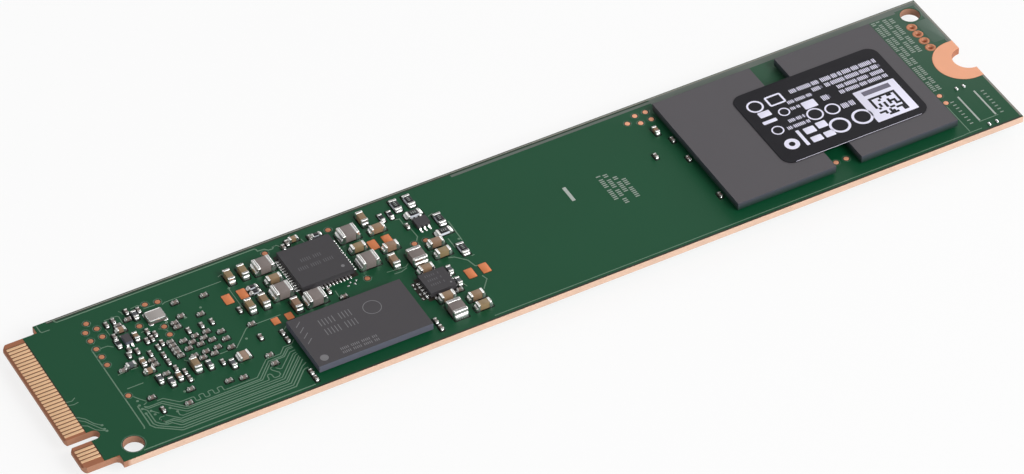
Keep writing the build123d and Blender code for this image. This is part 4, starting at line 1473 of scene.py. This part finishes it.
@dataclass(frozen=True)
class TickRow:
    """A row of plain upright ticks with a gap now and then."""

    start: float
    end: float
    middle: float
    height: float
    pitch: float

    def draw(
        self, draft: Draft, stand: Stand, draws: random.Random, finish: Finish | None = None
    ) -> None:
        """Draws the row.

        Args:
            draft: The drawing.
            stand: Where the row is measured from.
            draws: Where the length of each run comes from.
            finish: What the ticks wear.
        """
        left = draws.randint(*TICK_RUN)
        place = self.start
        while place < self.end:
            if left:
                tick = [(place, self.middle - self.height / 2), (place, self.middle + self.height / 2)]
                draft.stroke(stand, tick, self.pitch * 0.5, 0.0, PRINT_TOP, finish)
                left -= 1
            else:
                left = draws.randint(*TICK_RUN)
            place += self.pitch


@dataclass
class BoardDetail:
    """Bare copper, etched lines and print on the board's faces.

    A lone joint's size is half its length, half its width, and its height.
    """

    card: Card
    line_share: float = 0.8
    winding_width: float = 0.13
    winding_pitch: float = 1.03
    winding_turns: int = 3
    winding_steps: int = 14
    winding_reach: float = 0.33
    winding_lead: float = 0.12
    winding_swing: float = 1.35
    winding_lean: float = 0.1
    via_radius: float = 0.15
    via_dome: float = 0.012
    tick_pitch: float = 0.3
    tick_half: float = 0.2
    tick_width: float = 0.13
    bar_corner: float = 0.03
    bar_edge: float = 0.003
    patch_corner: float = 0.3
    point_height: float = 0.03
    point_gap: float = 0.12
    pad_edge: float = 0.02
    pad_corner: float = 0.08
    pad_gap: float = 0.06
    seam: float = 0.01
    ring_bore: float = 0.24
    ring_depth: float = 0.12
    notch_radius: float = 1.75
    notch_wall: float = 0.03
    notch_steps: int = 36
    hole_radius: float = 1.1
    hole_step: float = 0.015
    hole_lip: float = 0.03
    gap_width: float = 0.07
    rim_width: float = 0.1
    rim_height: float = 0.04
    contact_corner: float = 0.06
    contact_edge: float = 0.035
    contact_gap: float = 0.06
    contact_reach: float = 0.25
    dot_radius: float = 0.13
    dot_dome: float = 0.05
    joint_size: Point = (0.14, 0.26, 0.16)
    joint_edge: float = 0.1
    draws: random.Random = field(default_factory=lambda: random.Random(SEED + 1))

    def face(self, turned: bool = False) -> Stand:
        """A stand at the contact edge's middle, for drawings measured from there."""
        return Stand(self.card.tip, 0.0, self.card.seat, turned)

    def winding(self) -> list[Flat]:
        """Works out the line that winds to and fro to match its neighbours' length.

        Returns:
            Its points.
        """
        start = WINDING_HEAD[-1][0] + self.winding_lead
        middle = (WINDING_HEAD[-1][1] + WINDING_TAIL[0][1]) / 2
        steps = self.winding_steps * self.winding_turns + self.winding_steps // 2
        points = list(WINDING_HEAD)
        for step in range(steps + 1):
            turn = math.tau * step / self.winding_steps
            swing = max(-1.0, min(1.0, self.winding_swing * math.cos(turn)))
            along = turn / math.tau + self.winding_lean * math.sin(2 * turn)
            points.append((start + self.winding_pitch * along, middle + self.winding_reach * swing))
        return points + list(WINDING_TAIL)

    def lines(self) -> None:
        """Draws the etched lines and the vias' lids under the coating, and the lines by the edges, whose pale
        ones are painted highlights.
        """
        draft = Draft("etched_lines", Finishes.etched, Finishes.edge_highlight, Finishes.edge_shade)
        stand = self.face()
        for width, points in (*BUS, *LINES, (self.winding_width, self.winding())):
            draft.stroke(stand, points, self.line_share * width, 0.0, ETCHED_TOP)
        # The pale lines are painted highlights on the board's edges
        for width, start, end, dark in EDGE_LINES:
            finish = Finishes.edge_shade if dark else Finishes.edge_highlight
            draft.stroke(stand, [start, end], width, 0.0, PRINT_TOP, finish)
        for via in VIAS:
            draft.disc(stand, self.via_radius, 0.0, PRINT_TOP, steps=12, centre=via, dome=self.via_dome)
        draft.build("solder_mask")

    def prints(self) -> None:
        """Draws the board's white print as plain bars and ticks, and the coating's pale places."""
        draft = Draft(
            "board_print", Finishes.silk, Finishes.faint_silk, Finishes.thin_mask, Finishes.edge_band
        )
        stand = self.face()
        kinds = (
            (Finishes.silk, ETCHED_TOP, PRINTED_BARS), (Finishes.edge_band, FILM_TOP, PALE_BANDS),
        )
        for finish, top, bars in kinds:
            for (u0, v0), (u1, v1) in bars:
                draft.soft_block(
                    stand, (u1 - u0) / 2, (v1 - v0) / 2, 0.0, top, self.bar_corner, self.bar_edge, finish,
                    steps=1, shift=((u0 + u1) / 2, (v0 + v1) / 2),
                )
        across = self.face(turned=True)
        for x, low, high, height in PRINTED_ROWS:
            row = TickRow(low, high, -x, height, self.tick_pitch)
            row.draw(draft, across, self.draws, Finishes.faint_silk)
        places, first, pitch, number = SIDE_TICKS
        for step in range(number):
            for x in places:
                y = first - pitch * step
                tick = [(x - self.tick_half, y), (x + self.tick_half, y)]
                draft.stroke(stand, tick, self.tick_width, 0.0, PRINT_TOP, Finishes.faint_silk)
        x, y, half_u, half_v = THIN_PATCH
        draft.soft_block(
            stand, half_u, half_v, 0.0, SHADE_TOP, self.patch_corner, self.bar_edge, Finishes.thin_mask,
            steps=4, shift=(x, y),
        )
        draft.build("solder_mask")

    def test_points(self) -> None:
        """Builds the round bare pads, each sunk in a rimmed opening of the coating, with painted shade in the
        opening round the pad.
        """
        draft = Draft(
            "round_test_points", Finishes.point_copper, Finishes.recess_shade, Finishes.mask_rim,
            Finishes.land_copper,
        )
        for block in solids_of("test_points"):
            stand = Stand(block.x, block.y, self.card.seat)
            pad, gap = block.half_x - self.seam, block.half_x + self.point_gap
            rim = gap + self.gap_width
            # Painted shade in the coating's opening round the pad
            draft.disc(stand, gap, 0.0, FILM_TOP, Finishes.recess_shade, steps=20)
            pale = block.x > self.card.tip + PALE_POINTS_FROM
            finish = Finishes.land_copper if pale else Finishes.point_copper
            draft.soft_block(
                stand, pad, pad, 0.0, self.point_height, block.half_x, self.pad_edge, finish,
                self.draws.random(), steps=4,
            )
            draft.rim(stand, rim, rim, rim, self.rim_width, 0.0, self.rim_height, Finishes.mask_rim)
        draft.build("copper", "test_points")

    def spare_pads(self) -> None:
        """Builds the bare pads of the parts that aren't fitted, each ringed by painted shade."""
        draft = Draft("bare_pads", Finishes.copper, Finishes.recess_shade)
        for block in solids_of("spare_pads"):
            stand = Stand(block.x, block.y, self.card.seat)
            draft.soft_block(
                stand, block.half_x, block.half_y, 0.0, block.height, self.pad_corner, self.pad_edge,
                tone=self.draws.random(), steps=2,
            )
            # A ring of painted shade round the pad
            half_u, half_v = block.half_x + self.pad_gap, block.half_y + self.pad_gap
            corner = 2 * self.pad_gap
            draft.rim(stand, half_u, half_v, corner, self.gap_width, 0.0, PRINT_TOP, Finishes.recess_shade)
        draft.build("copper", "spare_pads")

    def ring_pads(self) -> None:
        """Builds the plated holes beside the notch: a flange on each face, joined by a barrel."""
        draft = Draft("plated_ring_pads", Finishes.point_copper)
        depth, bore = self.card.board_top - self.card.board_bottom, self.ring_bore
        for block in solids_of("ring_pads"):
            stand = Stand(block.x, block.y, self.card.board_top)
            outer = block.half_x - self.seam
            # From the flange's outer edge to the barrel
            flange = (
                (outer, 0.0), (outer, 0.03), (outer - 0.04, 0.045), (bore + 0.14, 0.045),
                (bore + 0.1, 0.02), (bore, -self.ring_depth),
            )
            profile = (*flange, *((radius, -depth - rise) for radius, rise in reversed(flange)))
            draft.loft(stand, [lifted(circle(r, 28), z) for r, z in profile], tone=0.3, lid=False)
        draft.build("copper", "ring_pads")

    def notch_plating(self) -> None:
        """Plates the mounting notch's wall between its two lands, in copper darkened by painted shade."""
        draft = Draft("notch_plating", Finishes.shaded_wall_copper)
        stand = Stand(self.card.end, 0.0, self.card.board_bottom)
        radius = self.notch_radius - self.notch_wall / 2 + 0.005
        angles = [math.pi * (0.5 + step / self.notch_steps) for step in range(self.notch_steps + 1)]
        arc = [(radius * math.cos(a), radius * math.sin(a)) for a in angles]
        top = self.card.board_top - self.card.board_bottom - self.seam
        draft.stroke(stand, arc, self.notch_wall, self.seam, top, tone=0.7)
        draft.build("copper")

    def shaded_hole_walls(self) -> None:
        """Lines the two tooling holes with laminate darkened by painted shade, and rings each with painted
        shade and the mask's rim.
        """
        draft = Draft("shaded_hole_walls", Finishes.hole_wall_shade, Finishes.recess_shade, Finishes.mask_rim)
        depth = self.card.seat - self.card.lower_seat
        wide, narrow, lip = self.hole_radius, self.hole_radius - self.hole_step, self.hole_lip
        gap = wide + self.gap_width
        # A ring of painted shade round each hole, then the mask's raised rim
        rings = (
            (gap, self.gap_width, PRINT_TOP, Finishes.recess_shade),
            (gap + self.rim_width, self.rim_width, lip, Finishes.mask_rim),
        )
        for x, y in TOOLING_HOLES:
            stand = Stand(self.card.tip + x, y, self.card.seat)
            # The hole's wall, in laminate darkened by painted shade
            profile = ((wide, 0.0), (narrow, -lip), (narrow, lip - depth), (wide, -depth))
            draft.loft(stand, [lifted(circle(r, 48), z) for r, z in profile], lid=False)
            for outer, width, top, finish in rings:
                draft.rim(stand, outer, outer, outer, width, 0.0, top, finish, steps=10)
        draft.build("laminate")

    def contacts(self) -> None:
        """Builds the contact fingers on both faces with round plated edges, the darker laminate between them,
        and painted shade at their inner ends.
        """
        for node, side in (("contacts_upper", Side.UPPER), ("contacts_lower", Side.LOWER)):
            draft = Draft(f"{node}_plated", Finishes.gold, Finishes.contact_gap, Finishes.recess_shade)
            level = self.card.board_top if side is Side.UPPER else self.card.board_bottom
            for block in solids_of(node):
                stand = Stand(block.x, block.y, level, side=side)
                draft.soft_block(
                    stand, block.half_x, block.half_y - self.seam, 0.0, block.height, self.contact_corner,
                    self.contact_edge, tone=self.draws.random(),
                )
                draft.soft_block(
                    stand, block.half_x, self.contact_gap, 0.0, PRINT_TOP, 0.01, FILM_EDGE,
                    Finishes.contact_gap, steps=1, shift=(0.0, self.contact_reach),
                )
                # A strip of painted shade on the coating at the finger's inner end
                seat = Stand(block.x, block.y, self.card.seat_of(side), side=side)
                draft.soft_block(
                    seat, 0.05, self.contact_reach, 0.0, FILM_TOP, 0.01, FILM_EDGE, Finishes.recess_shade,
                    steps=1, shift=(block.half_x + self.contact_gap, 0.0),
                )
            draft.build("gold", node)

    def joints(self) -> None:
        """Adds the small bright joints that stand alone on the board, and painted shade round one row of
        them.
        """
        draft = Draft("solder_dots", Finishes.solder, Finishes.recess_shade)
        stand = self.face()
        # A block of painted shade round the row of bright joints
        x, y, half_u, half_v = JOINT_SHADE
        draft.soft_block(
            stand, half_u, half_v, 0.0, SHADE_TOP, self.joint_edge, self.bar_edge, Finishes.recess_shade,
            steps=2, shift=(x, y),
        )
        for via in BRIGHT_VIAS:
            draft.disc(stand, self.dot_radius, 0.0, 0.01, steps=12, centre=via, dome=self.dot_dome)
        half_u, half_v, height = self.joint_size
        for place in LONE_JOINTS:
            draft.soft_block(
                stand, half_u, half_v, 0.0, height, self.joint_edge, self.joint_edge, shift=place
            )
        draft.build("solder")

    def build(self) -> None:
        """Builds all of the board's own detail."""
        self.lines()
        self.prints()
        self.test_points()
        self.spare_pads()
        self.ring_pads()
        self.notch_plating()
        self.shaded_hole_walls()
        self.contacts()
        self.joints()


# Packages


# Edges of a package sharper than this many degrees are rounded
ROUND_ABOVE = 50.0


def soften(node: str, width: float, segments: int = 2) -> None:
    """Rounds a CAD node's sharp edges.

    Args:
        node: The node's name.
        width: Width of the rounding, in millimetres.
        segments: Faces across it.
    """
    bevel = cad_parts[node].modifiers.new("soft edges", "BEVEL")
    bevel.width, bevel.segments = width * MM, segments
    bevel.limit_method, bevel.angle_limit = "ANGLE", math.radians(ROUND_ABOVE)
    log.info("%s: edges rounded by %.2f mm", node, width)


# CAD packages whose sharp edges are rounded: width of the rounding, then the nodes
SOFT_EDGES = (
    (0.06, ("flash_upper_inner", "flash_upper_outer", "flash_lower_inner", "flash_lower_outer")),
    (0.05, ("memory_package", "controller_package")),
    (0.04, ("power_chip", "switch_chip", "regulator_chip", "logic_chip")),
    (0.03, ("label",)),
)
# Plain marks on package tops: which package, then from the contact edge
MARK_DOTS = (
    ("memory_package", 27.55, -8.45, 0.45), ("power_chip", 35.42, 2.85, 0.2),
    ("switch_chip", 44.1, -4.6, 0.12),
)
# Rows of plain upright bars: package, from x, to x, y, height, pitch
MARK_ROWS = (
    ("memory_package", 29.4, 33.2, -3.8, 0.95, 0.38), ("memory_package", 29.4, 33.2, -5.25, 0.95, 0.38),
    ("memory_package", 29.6, 33.9, -8.15, 0.35, 0.2), ("memory_package", 29.6, 33.9, -8.7, 0.35, 0.2),
    ("power_chip", 32.0, 34.6, 5.6, 0.5, 0.24), ("power_chip", 31.2, 35.5, 4.5, 0.5, 0.24),
    ("switch_chip", 42.1, 43.8, -2.7, 0.32, 0.24), ("switch_chip", 42.1, 43.8, -3.4, 0.32, 0.24),
    ("switch_chip", 42.1, 43.8, -4.1, 0.32, 0.24),
)
# Every sixth bar of a row is left out
MARK_RUN = 6
# The ring on the memory package: centre and radius
MARK_RING = (35.15, -4.25, 1.0)
# Bars down the memory package's end: x, from y, to y
MARK_BARS = ((27.35, -3.2, -2.6), (27.35, -4.1, -3.5), (27.35, -5.0, -4.4), (27.35, -5.9, -5.3))


@dataclass
class Packages:
    """Moulded packages, their leads, legs and solder balls, and the crystal.

    Edges in a pair are the radii of the upright corners and of the top edges.
    """

    card: Card
    ball_steps: int = 12
    ball_levels: int = 6
    ball_bulge: float = 0.3
    ball_growth: float = 0.02
    toe_shade: float = 0.34
    toe_half: float = 0.13
    toe_rise: float = 0.85
    toe_edges: Flat = (0.08, 0.1)
    lead_edges: Flat = (0.02, 0.03)
    leg_edge: float = 0.02
    foot_half: float = 0.11
    foot_rise: float = 0.13
    foot_edge: float = 0.09
    lid_margin: float = 0.08
    lid_drop: float = 0.04
    seam_width: float = 0.16
    mark_width: float = 0.09
    bar_half: float = 0.35
    ring_width: float = 0.08
    draws: random.Random = field(default_factory=lambda: random.Random(SEED + 2))

    def balls(self) -> None:
        """Builds the solder balls under each package, squashed between board and package."""
        for node in ("flash_balls_upper", "flash_balls_lower", "memory_balls", "controller_balls"):
            side = Side.UPPER if node_block(node).top > self.card.board_top else Side.LOWER
            draft = Draft(f"{node}_round", Finishes.solder)
            for block in solids_of(node):
                stand = Stand(block.x, block.y, self.card.seat_of(side), side=side)
                rings = []
                for level in range(self.ball_levels + 1):
                    share = level / self.ball_levels
                    bulge = 1 - self.ball_bulge * (2 * share - 1) ** 2
                    outline = circle((block.half_x + self.ball_growth) * bulge, self.ball_steps)
                    rings.append(lifted(outline, share * block.height))
                draft.loft(stand, rings, tone=self.draws.random())
            draft.build("solder", node)

    def leads(self) -> None:
        """Builds the flat leads of the power chip and the switch chip, with solder at their toes and a ring
        of painted shade under them.
        """
        for chip in ("power_chip", "switch_chip"):
            middle, node = node_block(chip), f"{chip}_leads"
            draft = Draft(f"{node}_soldered", Finishes.tin, Finishes.solder, Finishes.recess_shade)
            # A ring of painted shade under the leads, all round the chip
            outer = middle.half_x + self.toe_shade
            draft.rim(
                Stand(middle.x, middle.y, self.card.seat), outer, outer, 0.1, 2.5 * self.toe_shade, 0.0,
                FILM_TOP, Finishes.recess_shade,
            )
            for block in solids_of(node):
                turned = block.half_y > block.half_x
                out = (block.y - middle.y) if turned else (block.x - middle.x)
                half_v, half_u = sorted((block.half_x, block.half_y))
                stand = Stand(block.x, block.y, self.card.seat, turned)
                draft.soft_block(
                    stand, half_u, half_v, 0.0, block.height, *self.lead_edges, tone=self.draws.random(),
                    steps=1,
                )
                draft.soft_block(
                    stand, self.toe_half, half_v + 0.015, 0.0, block.height * self.toe_rise,
                    *self.toe_edges, Finishes.solder, self.draws.random(),
                    shift=(math.copysign(half_u + 0.02, out), 0.0),
                )
            draft.build("tin", node)

    def legs(self) -> None:
        """Rounds the bent legs of the two small chips and adds the solder at their feet."""
        draft = Draft("leg_joints", Finishes.solder)
        for chip, node in (("regulator_chip", "regulator_legs"), ("logic_chip", "logic_legs")):
            middle = node_block(chip)
            soften(node, self.leg_edge, 1)
            for block in solids_of(node):
                out = math.copysign(block.half_y + 0.03, block.y - middle.y)
                stand = Stand(block.x, block.y, self.card.seat, turned=True)
                draft.soft_block(
                    stand, self.foot_half, block.half_x + 0.04, 0.0, self.foot_rise, self.foot_edge,
                    self.foot_edge, tone=self.draws.random(), shift=(out, 0.0),
                )
        draft.build("solder")

    def crystal(self) -> None:
        """Builds the crystal: a ceramic base with cut corners, a metal lid and its bright seam."""
        base, lid = node_block("crystal_base"), node_block("crystal_lid")
        stand = Stand(base.x, base.y, self.card.seat)
        draft = Draft("crystal_can", Finishes.crystal_base, Finishes.lid, Finishes.solder)
        draft.soft_block(stand, base.half_x, base.half_y, 0.0, base.height, 0.18, 0.03)
        top = lid.top - self.card.seat
        half_u, half_v = lid.half_x + self.lid_margin, lid.half_y + self.lid_margin
        draft.soft_block(
            stand, half_u - 0.03, half_v - 0.03, base.height - 0.02, top - self.lid_drop, 0.2,
            self.lid_drop, Finishes.lid,
        )
        foot = base.height - 0.06
        draft.rim(stand, half_u, half_v, 0.22, self.seam_width, foot, top, Finishes.solder)
        for u, v in ((-1, -1), (-1, 1), (1, -1), (1, 1)):
            corner = (u * (base.half_x - 0.2), v * (base.half_y - 0.05))
            draft.soft_block(stand, 0.26, 0.2, 0.0, 0.1, 0.08, 0.07, Finishes.solder, shift=corner)
        draft.build("crystal_metal", "crystal_base", "crystal_lid")

    def top_of(self, node: str) -> Stand:
        """A stand on a package's top, at the contact edge's middle."""
        return Stand(self.card.tip, 0.0, node_block(node).top)

    def marks(self) -> None:
        """Marks the package tops with plain dots and rows of short strokes."""
        draft = Draft("package_marks", Finishes.mark, Finishes.faint_mark)
        for node, x, y, radius in MARK_DOTS:
            draft.disc(self.top_of(node), radius, 0.0, MARK_TOP, centre=(x, y))
        for node, start, end, y, height, pitch in MARK_ROWS:
            finish = Finishes.mark if node == "memory_package" else Finishes.faint_mark
            for step in range(int((end - start) / pitch)):
                if (step + 1) % MARK_RUN:
                    place = start + step * pitch
                    bar = [(place, y - height / 2), (place, y + height / 2)]
                    draft.stroke(self.top_of(node), bar, self.mark_width, 0.0, INK_TOP, finish)
        memory = self.top_of("memory_package")
        x, y, radius = MARK_RING
        draft.washer(memory, radius, radius - self.ring_width, INK_TOP, (x, y))
        for x, low, high in MARK_BARS:
            bar = [(x - self.bar_half, low), (x + self.bar_half, high)]
            draft.stroke(memory, bar, self.mark_width, 0.0, INK_TOP)
        draft.build("mould")

    def build(self) -> None:
        """Builds every package's detail."""
        for width, nodes in SOFT_EDGES:
            for node in nodes:
                soften(node, width)
        self.balls()
        self.leads()
        self.legs()
        self.crystal()
        self.marks()


# Label print


# Rows of ticks, measured from the contact edge: from x, to x, y, height
LABEL_ROWS = (
    (89.5, 93.1, 3.35, 0.62), (93.4, 95.9, 3.35, 0.66), (96.1, 100.2, 3.35, 0.66), (91.8, 93.0, 2.45, 0.6),
    (93.4, 100.2, 2.45, 0.62), (94.4, 98.3, 1.55, 0.58), (98.6, 100.1, 1.55, 0.58), (94.2, 100.1, 0.7, 0.56),
    (88.4, 91.4, 1.95, 0.5), (88.2, 89.3, 0.95, 0.45), (87.0, 89.0, -0.65, 0.5), (86.3, 89.0, -1.6, 0.5),
    (92.0, 92.9, 0.75, 0.8), (93.2, 94.7, -1.35, 0.8),
)
# Centre, outer radius and width of each ring
LABEL_RINGS = (
    (90.0, -1.0, 0.95, 0.2), (92.05, -1.2, 0.88, 0.2), (87.3, 0.9, 0.66, 0.16), (85.4, -3.9, 0.85, 0.5),
    (91.4, -3.8, 1.2, 0.3), (94.2, -3.8, 1.2, 0.3), (85.0, 3.1, 0.95, 0.22), (85.2, -1.3, 0.7, 0.16),
)
# Middle and half sizes of each plain block
LABEL_BLOCKS = (
    (85.2, 0.32, 0.85, 0.25), (90.3, 0.65, 0.8, 0.6), (88.2, -2.9, 0.65, 0.5), (89.75, -2.75, 0.6, 0.5),
    (88.2, -4.4, 0.65, 0.45), (89.75, -4.4, 0.6, 0.45), (85.3, 1.6, 0.7, 0.45), (86.9, -3.6, 0.2, 1.3),
)
# Middle, half sizes, corner and width of the plain frame
LABEL_FRAME = (87.45, 3.05, 1.0, 0.82, 0.25, 0.24)
# Middle and half sizes of the pale panel
PANEL = (97.75, -2.77, 2.55, 2.68)


@dataclass
class LabelPrint:
    """White print on the dark label: plain rows, rings and blocks, a pale panel, and a painted highlight
    along the film's near edge.
    """

    card: Card
    tick_pitch: float = 0.2
    edge_highlight: float = 0.05
    edge_inset: float = 0.03
    end_inset: float = 1.2
    corner: float = 0.1
    print_height: float = 0.004
    stain: float = 0.7
    cells: int = 11
    cell: float = 0.3
    dark_share: float = 0.45
    panel_foot: float = 0.45
    bar_half: float = 1.7
    bar_level: float = -0.8
    bar_width: float = 0.7
    draws: random.Random = field(default_factory=lambda: random.Random(SEED + 3))

    def panel(self, draft: Draft, stand: Stand) -> None:
        """Draws the pale panel, with random dark cells and a plain bar on it.

        Args:
            draft: The drawing.
            stand: Where it is measured from.
        """
        x, y, half_u, half_v = PANEL
        low, high = self.print_height, self.print_height + INK_TOP
        draft.soft_block(stand, half_u, half_v, 0.0, low, self.corner, FILM_EDGE, steps=2, shift=(x, y))
        left, foot, last = x - self.cells * self.cell / 2, y - half_v + self.panel_foot, self.cells - 1
        for row in range(self.cells):
            for column in range(self.cells):
                if self.draws.random() < self.dark_share or last in (row, column):
                    middle = (left + (column + 0.5) * self.cell, foot + (row + 0.5) * self.cell)
                    draft.soft_block(
                        stand, self.cell / 2, self.cell / 2, low, high, 0.02, 0.001, Finishes.film,
                        steps=1, shift=middle,
                    )
        bar = [(x - self.bar_half, self.bar_level), (x + self.bar_half, self.bar_level)]
        draft.stroke(stand, bar, self.bar_width, low, high, Finishes.faint_ink)

    def build(self) -> None:
        """Draws the print on the label's face."""
        label = node_block("label")
        stand = Stand(self.card.tip, 0.0, label.top)
        draft = Draft("label_print", Finishes.print_ink, Finishes.film, Finishes.faint_ink)
        # A painted highlight along the film's near edge, drawn in the print's white
        near, middle = label.y - label.half_y + self.edge_inset, label.x - stand.x
        reach = label.half_x - self.end_inset
        edge = [(middle - reach, near), (middle + reach, near)]
        draft.stroke(stand, edge, self.edge_highlight, 0.0, MARK_TOP)
        for start, end, y, height in LABEL_ROWS:
            TickRow(start, end, y, height, self.tick_pitch).draw(draft, stand, self.draws)
            line = [(start, y), (end, y)]
            draft.stroke(stand, line, height * self.stain, 0.0, INK_TOP, Finishes.faint_ink)
        for x, y, radius, width in LABEL_RINGS:
            draft.washer(stand, radius, radius - width, self.print_height, (x, y))
        for x, y, half_u, half_v in LABEL_BLOCKS:
            draft.soft_block(
                stand, half_u, half_v, 0.0, self.print_height, self.corner, FILM_EDGE, steps=2,
                shift=(x, y),
            )
        x, y, half_u, half_v, corner, width = LABEL_FRAME
        place = Stand(stand.x + x, stand.y + y, label.top)
        draft.rim(place, half_u, half_v, corner, width, 0.0, self.print_height)
        self.panel(draft, stand)
        draft.build("label_film")


# The lower side


@dataclass
class LowerSide:
    """What the photograph doesn't show: hold-up capacitors and the lower face's lines.

    The guard line is given by its two ends along the card and its place across it.
    """

    card: Card
    bar_share: float = 0.16
    bar_place: float = -0.72
    bar_inset: float = 0.25
    waist: float = 0.45
    body_corner: float = 0.12
    strap: float = 0.1
    strap_corner: float = 0.02
    toe_half: float = 0.16
    toe_rise: float = 0.3
    toe_edges: Flat = (0.1, 0.14)
    guard_line: tuple[float, float, float] = (6.5, 101.0, 10.45)
    guard_width: float = 0.15
    bus_lines: int = 7
    bus_pitch: float = 0.3
    bus_width: float = 0.14
    points: int = 14
    first_point: Flat = (30.0, 5.0)
    point_pitch: float = 2.3
    point_spread: float = 4.5
    point_radius: float = 0.28
    point_height: float = 0.03
    draws: random.Random = field(default_factory=lambda: random.Random(SEED + 4))

    def holdup(self) -> None:
        """Builds the moulded hold-up capacitors on their folded feet."""
        draft = Draft("holdup_bank", Finishes.holdup, Finishes.tin, Finishes.mark, Finishes.solder)
        bodies = solids_of("holdup_capacitors")
        for block in bodies:
            half_v, half_u = sorted((block.half_x, block.half_y))
            turned = block.half_y > block.half_x
            stand = Stand(block.x, block.y, self.card.lower_seat, turned, Side.LOWER)
            rise = self.card.lower_seat - block.foot
            waist = rise * self.waist
            section = (
                (0.06, rise - block.height), (0.0, waist), (0.0, waist + 0.05), (0.05, rise - 0.08),
                (0.12, rise - 0.02), (0.18, rise),
            )
            rings = [
                lifted(rounded_outline(half_u - inset, half_v - inset, self.body_corner, 2), z)
                for inset, z in section
            ]
            draft.loft(stand, rings, tone=self.draws.random(), foot=True)
            draft.soft_block(
                stand, self.bar_share * half_u, half_v - self.bar_inset, rise - INK_TOP, rise + INK_TOP,
                0.05, INK_TOP / 2, Finishes.mark, steps=1, shift=(self.bar_place * half_u, 0.0),
            )
        for block in solids_of("holdup_feet"):
            owner = min(bodies, key=block.gap_to)
            sign = 1 if block.y > owner.y else -1
            stand = Stand(block.x, block.y, self.card.lower_seat, turned=True, side=Side.LOWER)
            end = sign * (block.half_y - self.strap / 2)
            draft.soft_block(
                stand, block.half_y, block.half_x, 0.0, self.strap, self.strap_corner, self.strap_corner,
                Finishes.tin, steps=1,
            )
            draft.soft_block(
                stand, self.strap / 2, block.half_x, 0.0, block.height, self.strap_corner, 0.03,
                Finishes.tin, steps=1, shift=(end, 0.0),
            )
            draft.soft_block(
                stand, self.toe_half, block.half_x + 0.04, 0.0, self.toe_rise, *self.toe_edges,
                Finishes.solder, shift=(end + sign * 0.06, 0.0),
            )
        draft.build("holdup_mould", "holdup_capacitors", "holdup_feet")

    def lines(self) -> None:
        """Draws guard lines, a bus and test points on the lower face."""
        draft = Draft("etched_lines_lower", Finishes.etched, Finishes.copper)
        stand = Stand(self.card.tip, 0.0, self.card.lower_seat, side=Side.LOWER)
        start, end, reach = self.guard_line
        for y in (-reach, reach):
            draft.stroke(stand, [(start, y), (end, y)], self.guard_width, 0.0, ETCHED_TOP)
        for row in range(self.bus_lines):
            shift = self.bus_pitch * row
            line = [
                (25.0, -1.0 - shift), (29.0 + shift, -1.0 - shift), (31.0 + shift, -3.0 - shift),
                (66.0, -3.0 - shift),
            ]
            draft.stroke(stand, line, self.bus_width, 0.0, ETCHED_TOP)
        for step in range(self.points):
            x, y = self.first_point
            spot = (x + self.point_pitch * step, y + self.draws.uniform(0.0, self.point_spread))
            draft.disc(
                stand, self.point_radius, 0.0, self.point_height, Finishes.copper, steps=20, centre=spot
            )
        draft.build("solder_mask")

    def build(self) -> None:
        """Builds the lower side's detail."""
        self.holdup()
        self.lines()


def dress_frame() -> None:
    """Gives each CAD node that stays shown the finish of what it is."""
    worn = {
        Finishes.laminate: ["board"],
        Finishes.mask: ["solder_mask_upper", "solder_mask_lower"],
        Finishes.land_copper: ["notch_lands"],
        Finishes.flash_mould: [
            "flash_upper_inner", "flash_upper_outer", "flash_lower_inner", "flash_lower_outer",
        ],
        Finishes.memory_mould: ["memory_package", "logic_chip"],
        Finishes.chip_mould: ["controller_package", "power_chip", "switch_chip", "regulator_chip"],
        Finishes.tin: ["power_chip_pad", "regulator_legs", "logic_legs"],
        Finishes.film: ["label"],
    }
    for finish, nodes in worn.items():
        for node in nodes:
            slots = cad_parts[node].material_slots
            slots[0].material = finish.material()
            log.info("%s wears %s", node, finish.name)


def main() -> None:
    """Builds the studio and dresses the card, piece by piece."""
    logging.basicConfig(level=logging.INFO, format="%(message)s")
    card = Card.measured()
    Studio().build()
    dress_frame()
    ChipParts(card).build()
    BoardDetail(card).build()
    Packages(card).build()
    LabelPrint(card).build()
    LowerSide(card).build()


if __name__ == "__main__":
    main()
